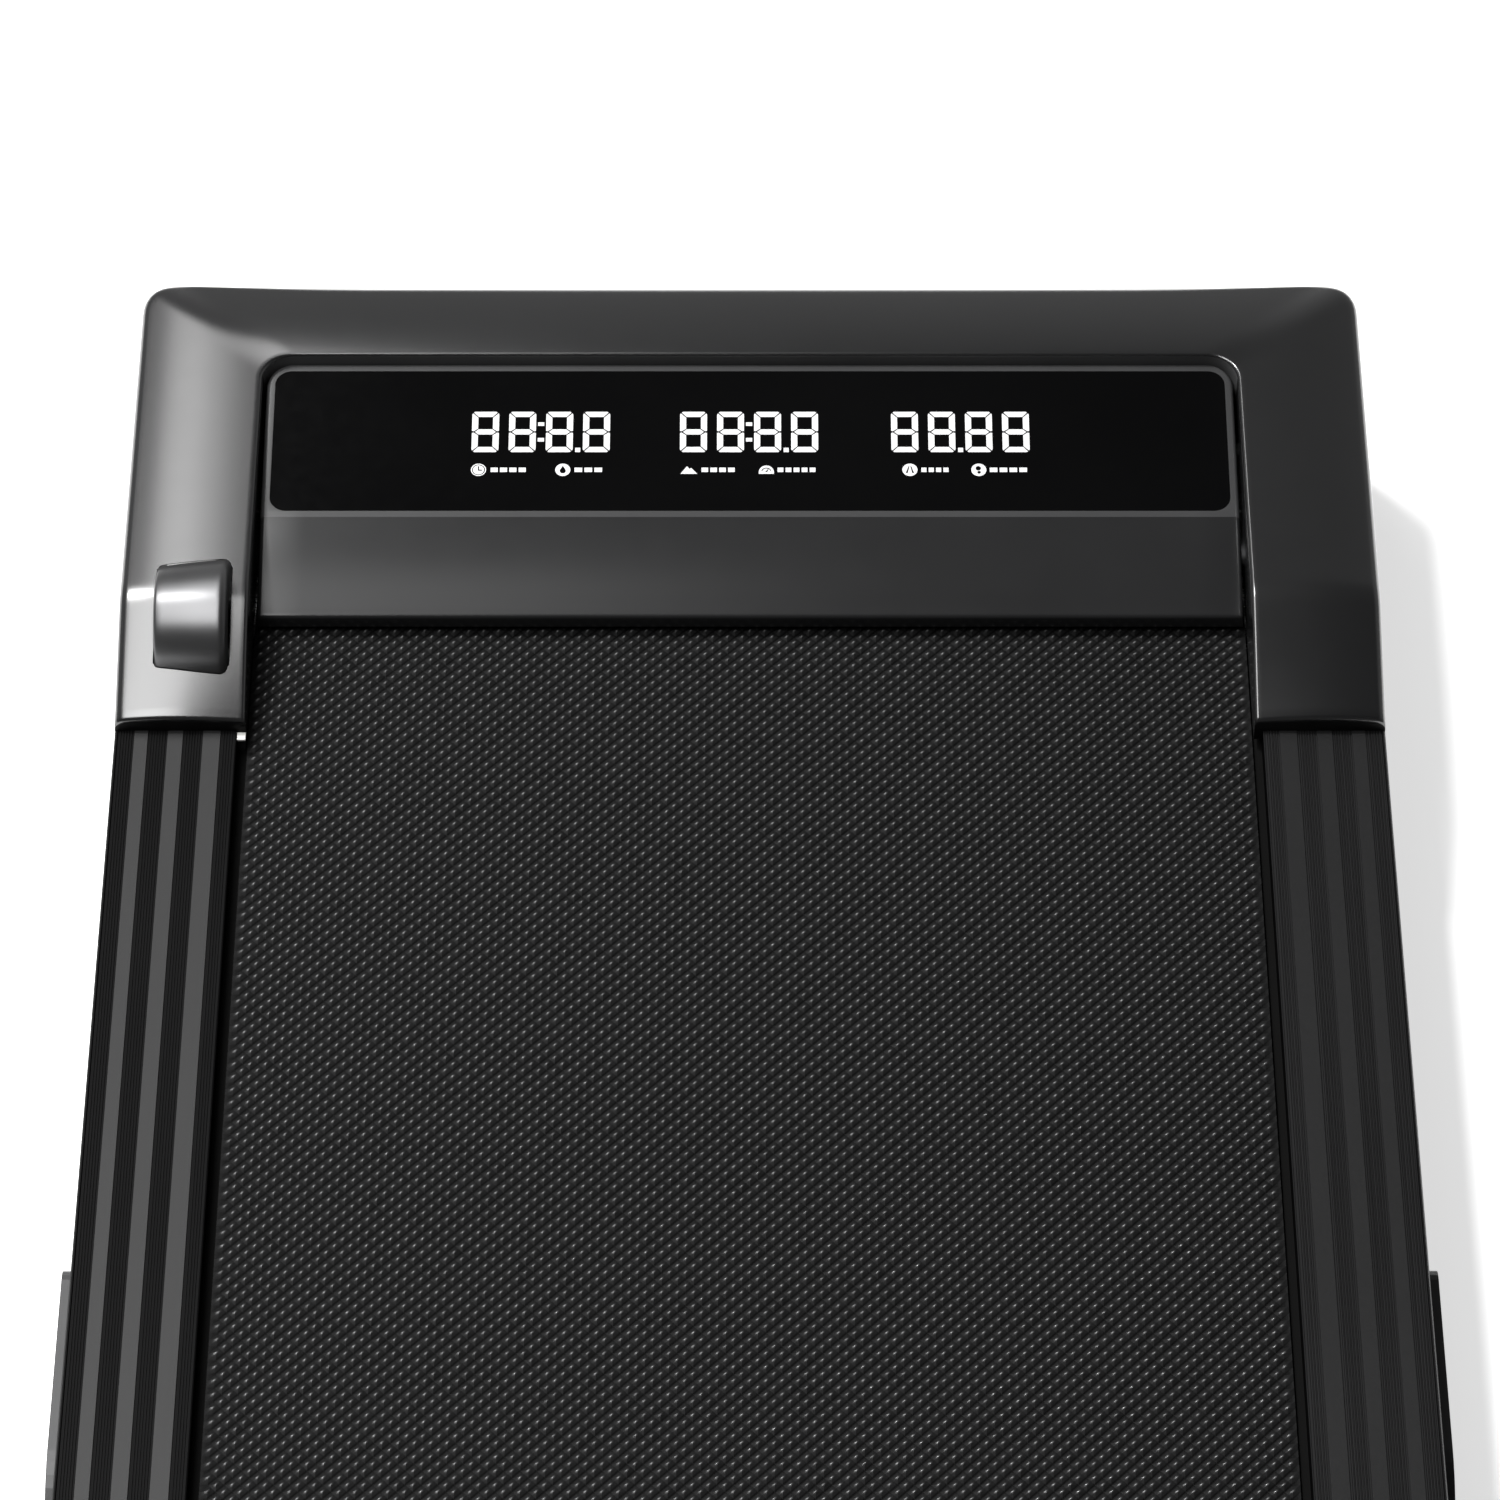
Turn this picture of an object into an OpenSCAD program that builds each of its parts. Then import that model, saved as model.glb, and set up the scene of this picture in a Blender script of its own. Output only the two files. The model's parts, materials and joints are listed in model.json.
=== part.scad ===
// Low under-desk treadmill (walking pad) with a motor hood, a display console,
// a thumb-wheel speed control and a powered incline.
// Frame: +Z up, +Y towards the motor hood, origin on the floor under the middle.

/* [Overall] */
// Width over the two foot rails
overall_w = 530; // [530:10:560]
// Length over the hood and the rear caps
overall_l = 1230; // [1130:10:1330]
// Width of the running belt
belt_w = 420; // [400:10:420]

/* [Heights] */
// Height of the running surface above the floor
belt_z = 76; // [76:1:78]
// Height of the foot rails above the running surface
rail_rise = 8; // [7:1:9]
// Height of the hood above the floor
hood_z = 111; // [111:1:114]

/* [Rollers and drive] */
// Radius of the front and rear roller
roller_r = 21.7; // [20:0.1:21.7]
// Radius of the roller shafts
shaft_r = 7.5; // [6:0.5:7.5]
// Radius of the pulley on the front roller
roller_pulley_r = 26; // [22:1:26]
// Radius of the pulley on the motor
motor_pulley_r = 11; // [9:1:12]

/* [Controls] */
// Radius of the speed thumb wheel
wheel_r = 29; // [27:1:29]
// Width of the speed thumb wheel
wheel_w = 31; // [25:1:31]

/* [Display] */
// Length of the display window along its slope
lens_l = 73.6; // [60:0.2:74]
// Corner radius of the display window
lens_corner = 7; // [2:1:8]

/* [Incline] */
// Radius of the front transport wheels
castor_r = 20; // [16:1:20]
// Radius of the lift pivot bolts
pivot_r = 6; // [5:0.5:6]

/* [Hidden] */

hw = overall_w / 2;           // half width
yf = overall_l / 2;           // front face of the hood
yr = -yf;                     // rear face of the caps
bw = belt_w / 2;              // half belt width
belt_t = 2;
wrap = 0.3;                   // clearance between a belt and what it wraps
axis_z = belt_z - belt_t - wrap - roller_r;
rail_z = belt_z + rail_rise;
deck_t = 15;
deck_top = belt_z - belt_t - wrap;
tube_out = hw - 5;            // outer face of the frame tubes
tube_in = tube_out - 22;
tube_lo = 22;
tube_hi = 44;
front_y = yf - 153;           // front roller axis
rear_y = yr + 30;             // rear roller axis
rail_in = bw + 4;             // inner edge of the foot rails
wing_y = yf - 236;            // rear end of the hood wings
cap_y = yr + 58;              // front end of the rear caps
motor_y = yf - 87;
motor_z = 57;
lift_y = yf - 31;             // lift actuator
bar_z = 16;                   // lift cross bar
pivot_y = yf - 575;
pivot_z = 34;
castor_y = yf - 55;
wheel_y = yf - 188;
wheel_z = hood_z - 18.6;
wheel_x = -(hw - 31.5);
lens_tilt = atan(8.4 / 81.5);
wall = 2.5;
arm_in = bw + 9;
arm_out = bw + 21;
thin = 0.01;

// A block given by its low and high corner.
module block(a, b) translate(a) cube([b[0] - a[0], b[1] - a[1], b[2] - a[2]]);
// A cylinder along X, centred on y and z, from x0 to x1.
module rod_x(y, z, r, x0, x1, n = 64) translate([x0, y, z]) rotate([0, 90, 0]) cylinder(r = r, h = x1 - x0, $fn = n);
// A cylinder along Y, from y0 to y1.
module rod_y(x, z, r, y0, y1, n = 48) translate([x, y0, z]) rotate([-90, 0, 0]) cylinder(r = r, h = y1 - y0, $fn = n);
// A cylinder along Z, from z0 to z1.
module rod_z(x, y, r, z0, z1, n = 48) translate([x, y, z0]) cylinder(r = r, h = z1 - z0, $fn = n);
// A ring along X.
module ring_x(y, z, ro, ri, x0, x1, n = 64) difference() {
  rod_x(y, z, ro, x0, x1, n);
  rod_x(y, z, ri, x0 - 1, x1 + 1, n);
}
// A side profile, given as [y, z] points, drawn out along X.
module side_profile(pts, x0, x1) translate([x0, 0, 0]) rotate([90, 0, 90]) linear_extrude(height = x1 - x0) polygon(pts);
// Both hands of a shape drawn on the right.
module both() { children(); mirror([1, 0, 0]) children(); }
// Points of an arc, in degrees.
function arc(cy, cz, r, a0, a1, n) = [for (i = [0:n]) [cy + r * cos(a0 + (a1 - a0) * i / n), cz + r * sin(a0 + (a1 - a0) * i / n)]];

// ---------------------------------------------------------------- frame
// One side member: a rectangular tube, with a plate in front that carries the hood.
module frame_rail_right() color([0.09, 0.09, 0.1]) {
  difference() {
    block([tube_in, yr + 15, tube_lo], [tube_out, yf - 118, tube_hi]);
    block([tube_in + 2, yr + 14, tube_lo + 2], [tube_out - 2, yf - 117, tube_hi - 2]);
    rod_x(pivot_y, pivot_z, pivot_r + 0.1, tube_in - 1, tube_out + 1);
    for (y = cushion_ys) rod_z(hw - 16, y, 3.2, tube_hi - 3, tube_hi + 1);
  }
  block([tube_out - 4, yf - 118, tube_lo], [tube_out, yf - 9, 62]);
}
module frame_rail_left() mirror([1, 0, 0]) frame_rail_right();

cross_ys = [yf - 215, yf - 395, yf - 660, yf - 850, yf - 1010];
cushion_ys = [yf - 250, yf - 400, yf - 640, yf - 790, yf - 940, yf - 1090];
// Tubes between the side members, under the deck and above the return run of the belt.
module deck_crossmembers() color([0.1, 0.1, 0.11])
  for (y = cross_ys) if (y > yr + 70) difference() {
    block([-tube_in, y - 12, 32], [tube_in, y + 12, tube_hi]);
    block([-tube_in - 1, y - 10, 34], [tube_in + 1, y + 10, tube_hi - 2]);
  }

module front_crossmember() color([0.1, 0.1, 0.11]) difference() {
  block([-(tube_out - 4), yf - 18, tube_lo], [tube_out - 4, yf - 6, tube_hi]);
  block([-tube_out, yf - 16, tube_lo + 2], [tube_out, yf - 8, tube_hi - 2]);
  for (x = boss_xs) rod_z(x, boss_y, 2.3, tube_lo - 1, tube_hi + 1);
}

// Screw positions that hold the hood to the front cross member.
boss_xs = [-164, 0, 164];
boss_y = yf - 12;
// Folded sheet that carries the motor, the controller and the lift actuator.
module motor_tray() color([0.16, 0.16, 0.17]) difference() {
  union() {
    block([-(tube_in - 4), yf - 125, 26], [tube_in - 4, yf - 18, 28.5]);
    block([-tube_in, yf - 127, 26], [tube_in, yf - 119, 28.5]);
    both() block([tube_in - 6.5, yf - 86, 28.5 - thin], [tube_in - 4, yf - 22, 40]);
  }
  block([-12, lift_y - 16, 20], [12, lift_y + 14, 30]);
  for (x = [70, 180]) rod_z(x, motor_y - 24, 2.6, 20, 30);
  for (x = [70, 180]) rod_z(x, motor_y + 24, 2.6, 20, 30);
}

// ---------------------------------------------------------------- deck and belt
module deck_board() color([0.15, 0.13, 0.12]) difference() {
  union() {
    block([-(hw - 9), yr + 63, deck_top - deck_t], [hw - 9, yf - 223, deck_top]);
    block([-(bw + 4), yf - 223 - thin, deck_top - deck_t], [bw + 4, front_y - 30, deck_top]);
  }
  both() for (y = cushion_ys) rod_z(hw - 16, y, 3.2, 50, 80);
}

module deck_cushions() color([0.06, 0.06, 0.06])
  both() for (y = cushion_ys) difference() {
    rod_z(hw - 16, y, 10, tube_hi, deck_top - deck_t);
    rod_z(hw - 16, y, 3.2, tube_hi - 1, deck_top);
  }

module deck_screws() color("silver")
  both() for (y = cushion_ys) {
    rod_z(hw - 16, y, 3, tube_hi - 8, deck_top);
    rod_z(hw - 16, y, 6, deck_top, deck_top + 2.5);
  }

// Closed loop round both rollers.
module belt_outline(r) hull() {
  translate([front_y, axis_z]) circle(r = r, $fn = 96);
  translate([rear_y, axis_z]) circle(r = r, $fn = 96);
}
module running_belt() color([0.07, 0.07, 0.07])
  translate([-bw, 0, 0]) rotate([90, 0, 90]) linear_extrude(height = belt_w) difference() {
    belt_outline(roller_r + wrap + belt_t);
    belt_outline(roller_r + wrap);
  }

// Block beside the belt edge that keeps the belt centred.
module belt_guide() color([0.86, 0.86, 0.84])
  block([-rail_in, wing_y - 8, deck_top], [-(bw + 0.8), wing_y - 0.4, rail_z - 1]);

module roller_tube(y) difference() {
  union() {
    rod_x(y, axis_z, roller_r - 0.25, -(bw + 4), bw + 4, 96);
    rod_x(y, axis_z, roller_r, -bw * 0.62, bw * 0.62, 96);
  }
  rod_x(y, axis_z, roller_r - 3, -(bw + 5), bw + 5, 96);
}
module roller_bearings(y) both() ring_x(y, axis_z, roller_r - 3.05, shaft_r + 0.05, bw - 10, bw + 2);

module front_roller_tube() color([0.55, 0.56, 0.58]) roller_tube(front_y);
module front_roller_bearings() color([0.7, 0.7, 0.72]) roller_bearings(front_y);
// Grooved pulley on the right-hand end of the front roller.
module front_roller_pulley() color([0.2, 0.2, 0.21])
  translate([bw + 4, front_y, axis_z]) rotate([0, 90, 0]) rotate_extrude($fn = 96)
    polygon(concat([[shaft_r + 1.5, 0], [roller_r - 1, 0], [roller_r - 1, 4], [roller_pulley_r + 1.2, 4], [roller_pulley_r + 1.2, 5]],
      [for (i = [0:4]) each [[roller_pulley_r - 0.4, 5.6 + i * 2.2], [roller_pulley_r - 1.8, 6.6 + i * 2.2], [roller_pulley_r - 0.4, 7.6 + i * 2.2]]],
      [[roller_pulley_r + 1.2, 17], [roller_pulley_r - 8, 17], [roller_pulley_r - 9, 12], [shaft_r + 5, 12], [shaft_r + 5, 17], [shaft_r + 1.5, 17]]));
module front_roller_shaft() color([0.62, 0.63, 0.65]) roller_shaft(front_y);
module rear_roller_tube() color([0.55, 0.56, 0.58]) roller_tube(rear_y);
module rear_roller_bearings() color([0.7, 0.7, 0.72]) roller_bearings(rear_y);
module rear_roller_shaft() color([0.62, 0.63, 0.65]) roller_shaft(rear_y);
module roller_shaft(y) difference() {
  rod_x(y, axis_z, shaft_r, -(hw - 7), hw - 7);
  both() rod_y(hw - 16, axis_z, 3.2, y - 20, y + 20);
}
// Blocks on the frame tubes that hold the roller shafts.
module roller_saddles() color([0.2, 0.2, 0.21])
  both() for (y = [front_y, rear_y]) difference() {
    block([tube_in, y - 14, tube_hi], [tube_out - 2, y + 14, axis_z + 11]);
    rod_x(y, axis_z, shaft_r + 0.1, tube_in - 1, tube_out + 1);
    rod_y(hw - 16, axis_z, 3.2, y - 20, y + 20);
  }
module tension_bolts() color("silver")
  both() for (s = [[front_y, 1], [rear_y, -1]]) {
    a = s[0] + s[1] * 18;
    rod_y(hw - 16, axis_z, 3, min(a, s[0] - s[1] * 12), max(a, s[0] - s[1] * 12));
    translate([hw - 16, s[0] + s[1] * 18, axis_z]) rotate([-90 * s[1], 0, 0]) difference() {
      cylinder(r = 6, h = 6, $fn = 48);
      translate([0, 0, 2.5]) cylinder(r = 3, h = 4, $fn = 6);
    }
  }

// ---------------------------------------------------------------- drive
module drive_outline(g) hull() {
  translate([front_y, axis_z]) circle(r = roller_pulley_r + g, $fn = 80);
  translate([motor_y, motor_z]) circle(r = motor_pulley_r + g, $fn = 64);
}
module drive_belt() color([0.04, 0.04, 0.04])
  translate([bw + 9.6, 0, 0]) rotate([90, 0, 90]) linear_extrude(height = 10.6) difference() {
    drive_outline(2.9);
    drive_outline(0.3);
  }
motor_r = 28;
module motor_housing() color([0.12, 0.12, 0.13]) {
  difference() {
    rod_x(motor_y, motor_z, motor_r, 62, 188, 96);
    rod_x(motor_y, motor_z, motor_r - 3, 68, 182, 96);
    rod_x(motor_y, motor_z, 11, 61, 189);
    for (a = [0:30:330]) translate([0, motor_y, motor_z]) rotate([a, 0, 0]) block([80, -1.5, motor_r - 1], [170, 1.5, motor_r + 2]);
  }
}
module motor_magnets() color([0.3, 0.3, 0.32]) ring_x(motor_y, motor_z, motor_r - 3.1, 20, 84, 166, 96);
module motor_bearings() color([0.7, 0.7, 0.72]) {
  ring_x(motor_y, motor_z, 10.95, 5.05, 62.5, 67.5);
  ring_x(motor_y, motor_z, 10.95, 5.05, 182.5, 187.5);
}
// Two saddles between the tray and the motor.
module motor_mount() color([0.2, 0.2, 0.21])
  for (x = [64, 174]) difference() {
    block([x, motor_y - 29, 28.5], [x + 12, motor_y + 29, 44]);
    rod_x(motor_y, motor_z, motor_r + 0.1, x - 1, x + 13, 96);
    for (y = [motor_y - 24, motor_y + 24]) rod_z(x + 6, y, 2.2, 20, 45);
  }
module motor_shaft() color("silver") rod_x(motor_y, motor_z, 5, 58, bw + 22);
module motor_rotor() color([0.6, 0.35, 0.2]) difference() {
  ring_x(motor_y, motor_z, 19, 5, 88, 162, 96);
  for (a = [0:30:330]) translate([0, motor_y, motor_z]) rotate([a, 0, 0]) block([87, -1.6, 12], [163, 1.6, 20]);
}
// Flywheel with fan blades.
module motor_flywheel() color([0.25, 0.25, 0.26]) {
  difference() {
    ring_x(motor_y, motor_z, 26.5, 5, 194, 207, 96);
    ring_x(motor_y, motor_z, 22, 9, 203, 209, 96);
  }
  for (a = [0:45:315]) translate([0, motor_y, motor_z]) rotate([a, 0, 0]) block([203, -1, 8.9], [206, 1, 22.2]);
}
module motor_pulley() color([0.25, 0.25, 0.26])
  translate([bw + 6.5, motor_y, motor_z]) rotate([0, 90, 0]) rotate_extrude($fn = 80)
    polygon(concat([[5, 0], [motor_pulley_r + 2, 0], [motor_pulley_r + 2, 2.5]],
      [for (i = [0:4]) each [[motor_pulley_r - 0.4, 3.1 + i * 2.2], [motor_pulley_r - 1.6, 4.1 + i * 2.2], [motor_pulley_r - 0.4, 5.1 + i * 2.2]]],
      [[motor_pulley_r + 2, 14.5], [5, 14.5]]));

// ---------------------------------------------------------------- electronics
module controller_board() color([0.05, 0.22, 0.12]) {
  block([-206, yf - 117, 36], [-44, yf - 57, 38]);
  for (x = [-198, -52], y = [yf - 111, yf - 63]) rod_z(x, y, 3, 28.5, 36);
  for (x = [-78, -100]) rod_z(x, yf - 72, 9, 38, 66);
  block([-66, yf - 108, 38], [-50, yf - 76, 50]);
  block([-196, yf - 82, 38], [-176, yf - 62, 58]);
  for (i = [0:4]) block([-168 + i * 12, yf - 70, 38], [-160 + i * 12, yf - 62, 46]);
}
module controller_heatsink() color([0.6, 0.61, 0.63]) {
  block([-170, yf - 110, 38], [-92, yf - 84, 42]);
  for (i = [0:10]) block([-170 + i * 7.6, yf - 110, 42], [-168 + i * 7.6, yf - 84, 62]);
}
inlet_x = -190;
inlet_z = 66;
// Three-blade mains inlet, flush with the front of the hood.
module power_inlet() color([0.07, 0.07, 0.07]) {
  difference() {
    union() {
      block([inlet_x - 15, yf - 27, inlet_z - 11], [inlet_x + 15, yf - 3, inlet_z + 11]);
      block([inlet_x - 24, yf - 3, inlet_z - 12.5], [inlet_x + 24, yf - 0.6, inlet_z + 12.5]);
    }
    block([inlet_x - 12, yf - 23, inlet_z - 8], [inlet_x + 12, yf + 1, inlet_z + 8]);
    for (s = [-1, 1]) rod_y(inlet_x + s * 20, inlet_z, 1.7, yf - 5, yf + 1);
  }
  for (s = [[-7, -1.5], [0, 2.5], [7, -1.5]]) block([inlet_x + s[0] - 1, yf - 23, inlet_z + s[1] - 2], [inlet_x + s[0] + 1, yf - 12, inlet_z + s[1] + 2]);
}
sw_x = -142;
module power_switch_body() color([0.07, 0.07, 0.07]) difference() {
  union() {
    block([sw_x - 9, yf - 22, inlet_z - 12], [sw_x + 9, yf - 3, inlet_z + 12]);
    block([sw_x - 11, yf - 3, inlet_z - 14], [sw_x + 11, yf - 0.8, inlet_z + 14]);
  }
  block([sw_x - 6.5, yf - 19, inlet_z - 10], [sw_x + 6.5, yf + 1, inlet_z + 10]);
  rod_x(yf - 10, inlet_z, 1.6, sw_x - 8, sw_x + 8, 32);
}
// Rocker, tipped to its off side at rest.
module power_rocker() color([0.75, 0.08, 0.06])
  translate([0, yf - 10, inlet_z]) rotate([-8, 0, 0]) {
    side_profile([[-3, -3], [3, -8.4], [7.6, -8.8], [5.4, 0], [7.6, 8.8], [3, 8.4], [-3, 3]], sw_x - 6, sw_x + 6);
    rod_x(0, 0, 1.5, sw_x - 7.6, sw_x + 7.6, 32);
  }
brk_x = -110;
module breaker_body() color([0.1, 0.1, 0.1]) difference() {
  union() {
    rod_y(brk_x, inlet_z, 8, yf - 3, yf - 1);
    rod_y(brk_x, inlet_z, 5.5, yf - 9, yf - 3);
    block([brk_x - 9, yf - 30, inlet_z - 8], [brk_x + 9, yf - 9, inlet_z + 8]);
  }
  rod_y(brk_x, inlet_z, 4.06, yf - 14, yf + 1);
}
module reset_button() color([0.85, 0.85, 0.83]) rod_y(brk_x, inlet_z, 4, yf - 11, yf - 0.6);

// Leads between the board, the motors, the inlet, the switch, the display and the speed encoder.
module wiring_harness() color([0.06, 0.06, 0.06]) {
  rod_x(yf - 95, 44, 2.5, -50, 62, 24);
  rod_y(inlet_x, 56.6, 1.4, yf - 62, yf - 27, 24);
  rod_y(sw_x + 2, 42, 1.4, yf - 62, yf - 27, 24);
  rod_z(sw_x + 2, yf - 28.4, 1.4, 41, 61, 24);
  rod_y(sw_x + 2, 60, 1.4, yf - 29, yf - 22, 24);
  rod_z(-58, yf - 103, 1.6, 50, con_cz - 7.4, 24);
  rod_y(wheel_x - wheel_w / 2 - 6.5, wheel_z - 6.4, 1.4, wheel_y + 8, yf - 108.6, 24);
  rod_z(wheel_x - wheel_w / 2 - 6.5, yf - 110, 1.4, 79, wheel_z - 5.4, 24);
  rod_x(yf - 110, 80, 1.4, wheel_x - wheel_w / 2 - 6.5, -200, 24);
  rod_z(-201, yf - 110, 1.4, 38, 81, 24);
  rod_x(lift_y, 92, 1.6, -60, -23, 24);
  rod_z(-58.6, lift_y, 1.6, 36, 93, 24);
  rod_y(-58.6, 37, 1.0, yf - 57, lift_y, 24);
}

// ---------------------------------------------------------------- hood and console
// Outer side profile of the hood, inset by g.
function hood_profile(g) = concat(
  [[wing_y - (g > 0 ? -g : 0), 0], [yf - g, 0], [yf - g, hood_z - 16]],
  arc(yf - 13, hood_z - 16, 13 - g, 0, 68, 6),
  [[yf - 48, hood_z - g], [yf - 181, hood_z - 2 - g], [wing_y + (g > 0 ? g : 0), rail_z + 7.5 - g]]);
module hood_plan(g) hull() {
  both_2d(hw - 18, yf - 18) circle(r = 18 - g, $fn = 64);
  translate([-(hw - g), wing_y - 20]) square([2 * (hw - g), 40]);
}
module both_2d(x, y) { translate([x, y]) children(); translate([-x, y]) children(); }
module hood_solid(g, z0) intersection() {
  side_profile(hood_profile(g), -(hw - g), hw - g);
  translate([0, 0, z0]) linear_extrude(height = 140) hood_plan(g);
}
module hood() color([0.1, 0.1, 0.105]) difference() {
  union() {
    difference() {
      hood_solid(0, 20);
      // space under the shell, open below
      block([-(hw - wall), wing_y - 1, 0], [hw - wall, yf - 20, deck_top + 0.8]);
      intersection() {
        hood_solid(wall, 0);
        union() {
          both() block([bw + 4.5, wing_y + wall, 0], [hw, yf - 45.5, 140]);
          block([-hw, yf - 45.5, 0], [hw, yf, 140]);
          block([-hw, yf - 123, 0], [hw, yf - 45.5, 86]);
        }
      }
      // console opening and foot space between the wings
      block([-(bw + 2), wing_y - 1, 0], [bw + 2, yf - 48, 140]);
    }
    // screw bosses above the front cross member
    for (x = boss_xs) difference() {
      union() {
        rod_z(x, boss_y, 5, tube_hi, x == 0 ? 78 : hood_z - 5.6);
        block([x - 1.5, boss_y + 3, tube_hi + 2], [x + 1.5, yf - 2, 77]);
      }
      rod_z(x, boss_y, 1.9, tube_hi - 1, 64);
    }
  }
  // slot for the thumb wheel
  rod_x(wheel_y, wheel_z, wheel_r + 1, wheel_x - wheel_w / 2 - 0.8, wheel_x + wheel_w / 2 + 0.8, 96);
  // cut-outs for inlet, switch and breaker
  block([inlet_x - 15.2, yf - 4, inlet_z - 11.2], [inlet_x + 15.2, yf + 1, inlet_z + 11.2]);
  block([inlet_x - 24.2, yf - 3, inlet_z - 12.7], [inlet_x + 24.2, yf + 1, inlet_z + 12.7]);
  block([sw_x - 9.2, yf - 4, inlet_z - 12.2], [sw_x + 9.2, yf + 1, inlet_z + 12.2]);
  block([sw_x - 11.2, yf - 3, inlet_z - 14.2], [sw_x + 11.2, yf + 1, inlet_z + 14.2]);
  rod_y(brk_x, inlet_z, 8.2, yf - 4, yf + 1);
}
module hood_screws() color("silver") for (x = boss_xs) {
  rod_z(x, boss_y, 1.8, tube_lo - thin, 62);
  rod_z(x, boss_y, 4, tube_lo - 2.5, tube_lo);
}

con_f = yf - 48.5;            // front edge of the console
con_c = yf - 130;             // crease below the display
con_l = yf - 175.5;           // lip above the belt
con_fz = hood_z - 5.8;
con_cz = con_fz - 8.4;
con_lz = con_cz - 11.7;
module console_top() { // places children on the display slope, x across, y up the slope
  translate([0, con_c, con_cz]) rotate([lens_tilt, 0, 0]) children();
}
module console_panel() color([0.11, 0.11, 0.115]) {
  // posts down to the motor tray
  for (x = [-30, 48]) {
    rod_z(x, con_f - 18.5, 4, 28.5, con_fz - 4.6);
    rod_z(x, con_c + 11, 4, 28.5, con_cz - 1.2);
  }
  difference() {
  side_profile([[con_f, con_fz], [con_f, 88], [con_c, 86], [con_l + 4, belt_z + 2.6], [con_l, belt_z + 2.6], [con_l, con_lz], [con_c, con_cz]], -(bw - 0.5), bw - 0.5);
  side_profile([[con_f - wall, con_fz - wall - 0.3], [con_f - wall, 80], [con_l + wall, 70], [con_l + wall, con_lz - wall], [con_c, con_cz - wall - 0.2]], -(bw - 3), bw - 3);
  console_top() {
    translate([0, 4, -2.1]) linear_extrude(height = 5) lens_outline(0.2);
    translate([-130, 22, -8]) cube([260, 34, 12]);
  }
  }
}
module lens_outline(g) hull() for (x = [-1, 1], y = [0, 1])
  translate([x * (bw - 5 - lens_corner), y ? lens_l - lens_corner : lens_corner]) circle(r = lens_corner + g, $fn = 40);
module display_lens() color([0.02, 0.02, 0.02])
  console_top() translate([0, 4, -2]) linear_extrude(height = 2) lens_outline(0);
// Circuit board behind the window, with three blocks of seven-segment digits.
module display_board() color([0.05, 0.2, 0.12]) console_top() {
  translate([-128, 23, -9.6]) cube([256, 32, 1.6]);
  for (x = [-90, 0, 90]) translate([x - 31, 27, -8]) cube([62, 24, 5.9]);
}

// ---------------------------------------------------------------- speed control
module speed_wheel() color([0.2, 0.2, 0.21])
  translate([wheel_x - wheel_w / 2, wheel_y, wheel_z]) rotate([0, 90, 0]) rotate_extrude($fn = 128)
    polygon(concat([[3.05, 0], [wheel_r - 4.2, 0]], arc(wheel_r - 4.2, 1.5, 1.5, -90, 0, 5),
      [for (i = [1:6]) [wheel_r - 2.7 + 2.7 * sin(90 * i / 7), 1.5 + (wheel_w - 4) * i / 7]],
      arc(wheel_r - 2.5, wheel_w - 2.5, 2.5, 0, 90, 6),
      [[3.05, wheel_w]]));
module speed_wheel_axle() color("silver") rod_x(wheel_y, wheel_z, 3, wheel_x - wheel_w / 2 - 6, wheel_x + wheel_w / 2 + 3.2);
module speed_wheel_cradle() color([0.3, 0.3, 0.31]) difference() {
  union() {
    block([wheel_x - wheel_w / 2 - 4, wheel_y - 12, tube_hi], [wheel_x + wheel_w / 2 + 3.2, wheel_y + 12, tube_hi + 2.5]);
    block([wheel_x - wheel_w / 2 - 4, wheel_y - 12, tube_hi + 2.5 - thin], [wheel_x - wheel_w / 2 - 2, wheel_y + 12, wheel_z + 8]);
    block([wheel_x + wheel_w / 2 + 1.2, wheel_y - 12, tube_hi + 2.5 - thin], [wheel_x + wheel_w / 2 + 3.2, wheel_y + 12, wheel_z + 8]);
  }
  rod_x(wheel_y, wheel_z, 3.1, wheel_x - 40, wheel_x + 40, 48);
}
module speed_encoder() color([0.08, 0.08, 0.08]) difference() {
  block([wheel_x - wheel_w / 2 - 9, wheel_y - 8, wheel_z - 8], [wheel_x - wheel_w / 2 - 4, wheel_y + 8, wheel_z + 8]);
  rod_x(wheel_y, wheel_z, 3.1, wheel_x - 40, wheel_x + 40, 48);
}

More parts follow.
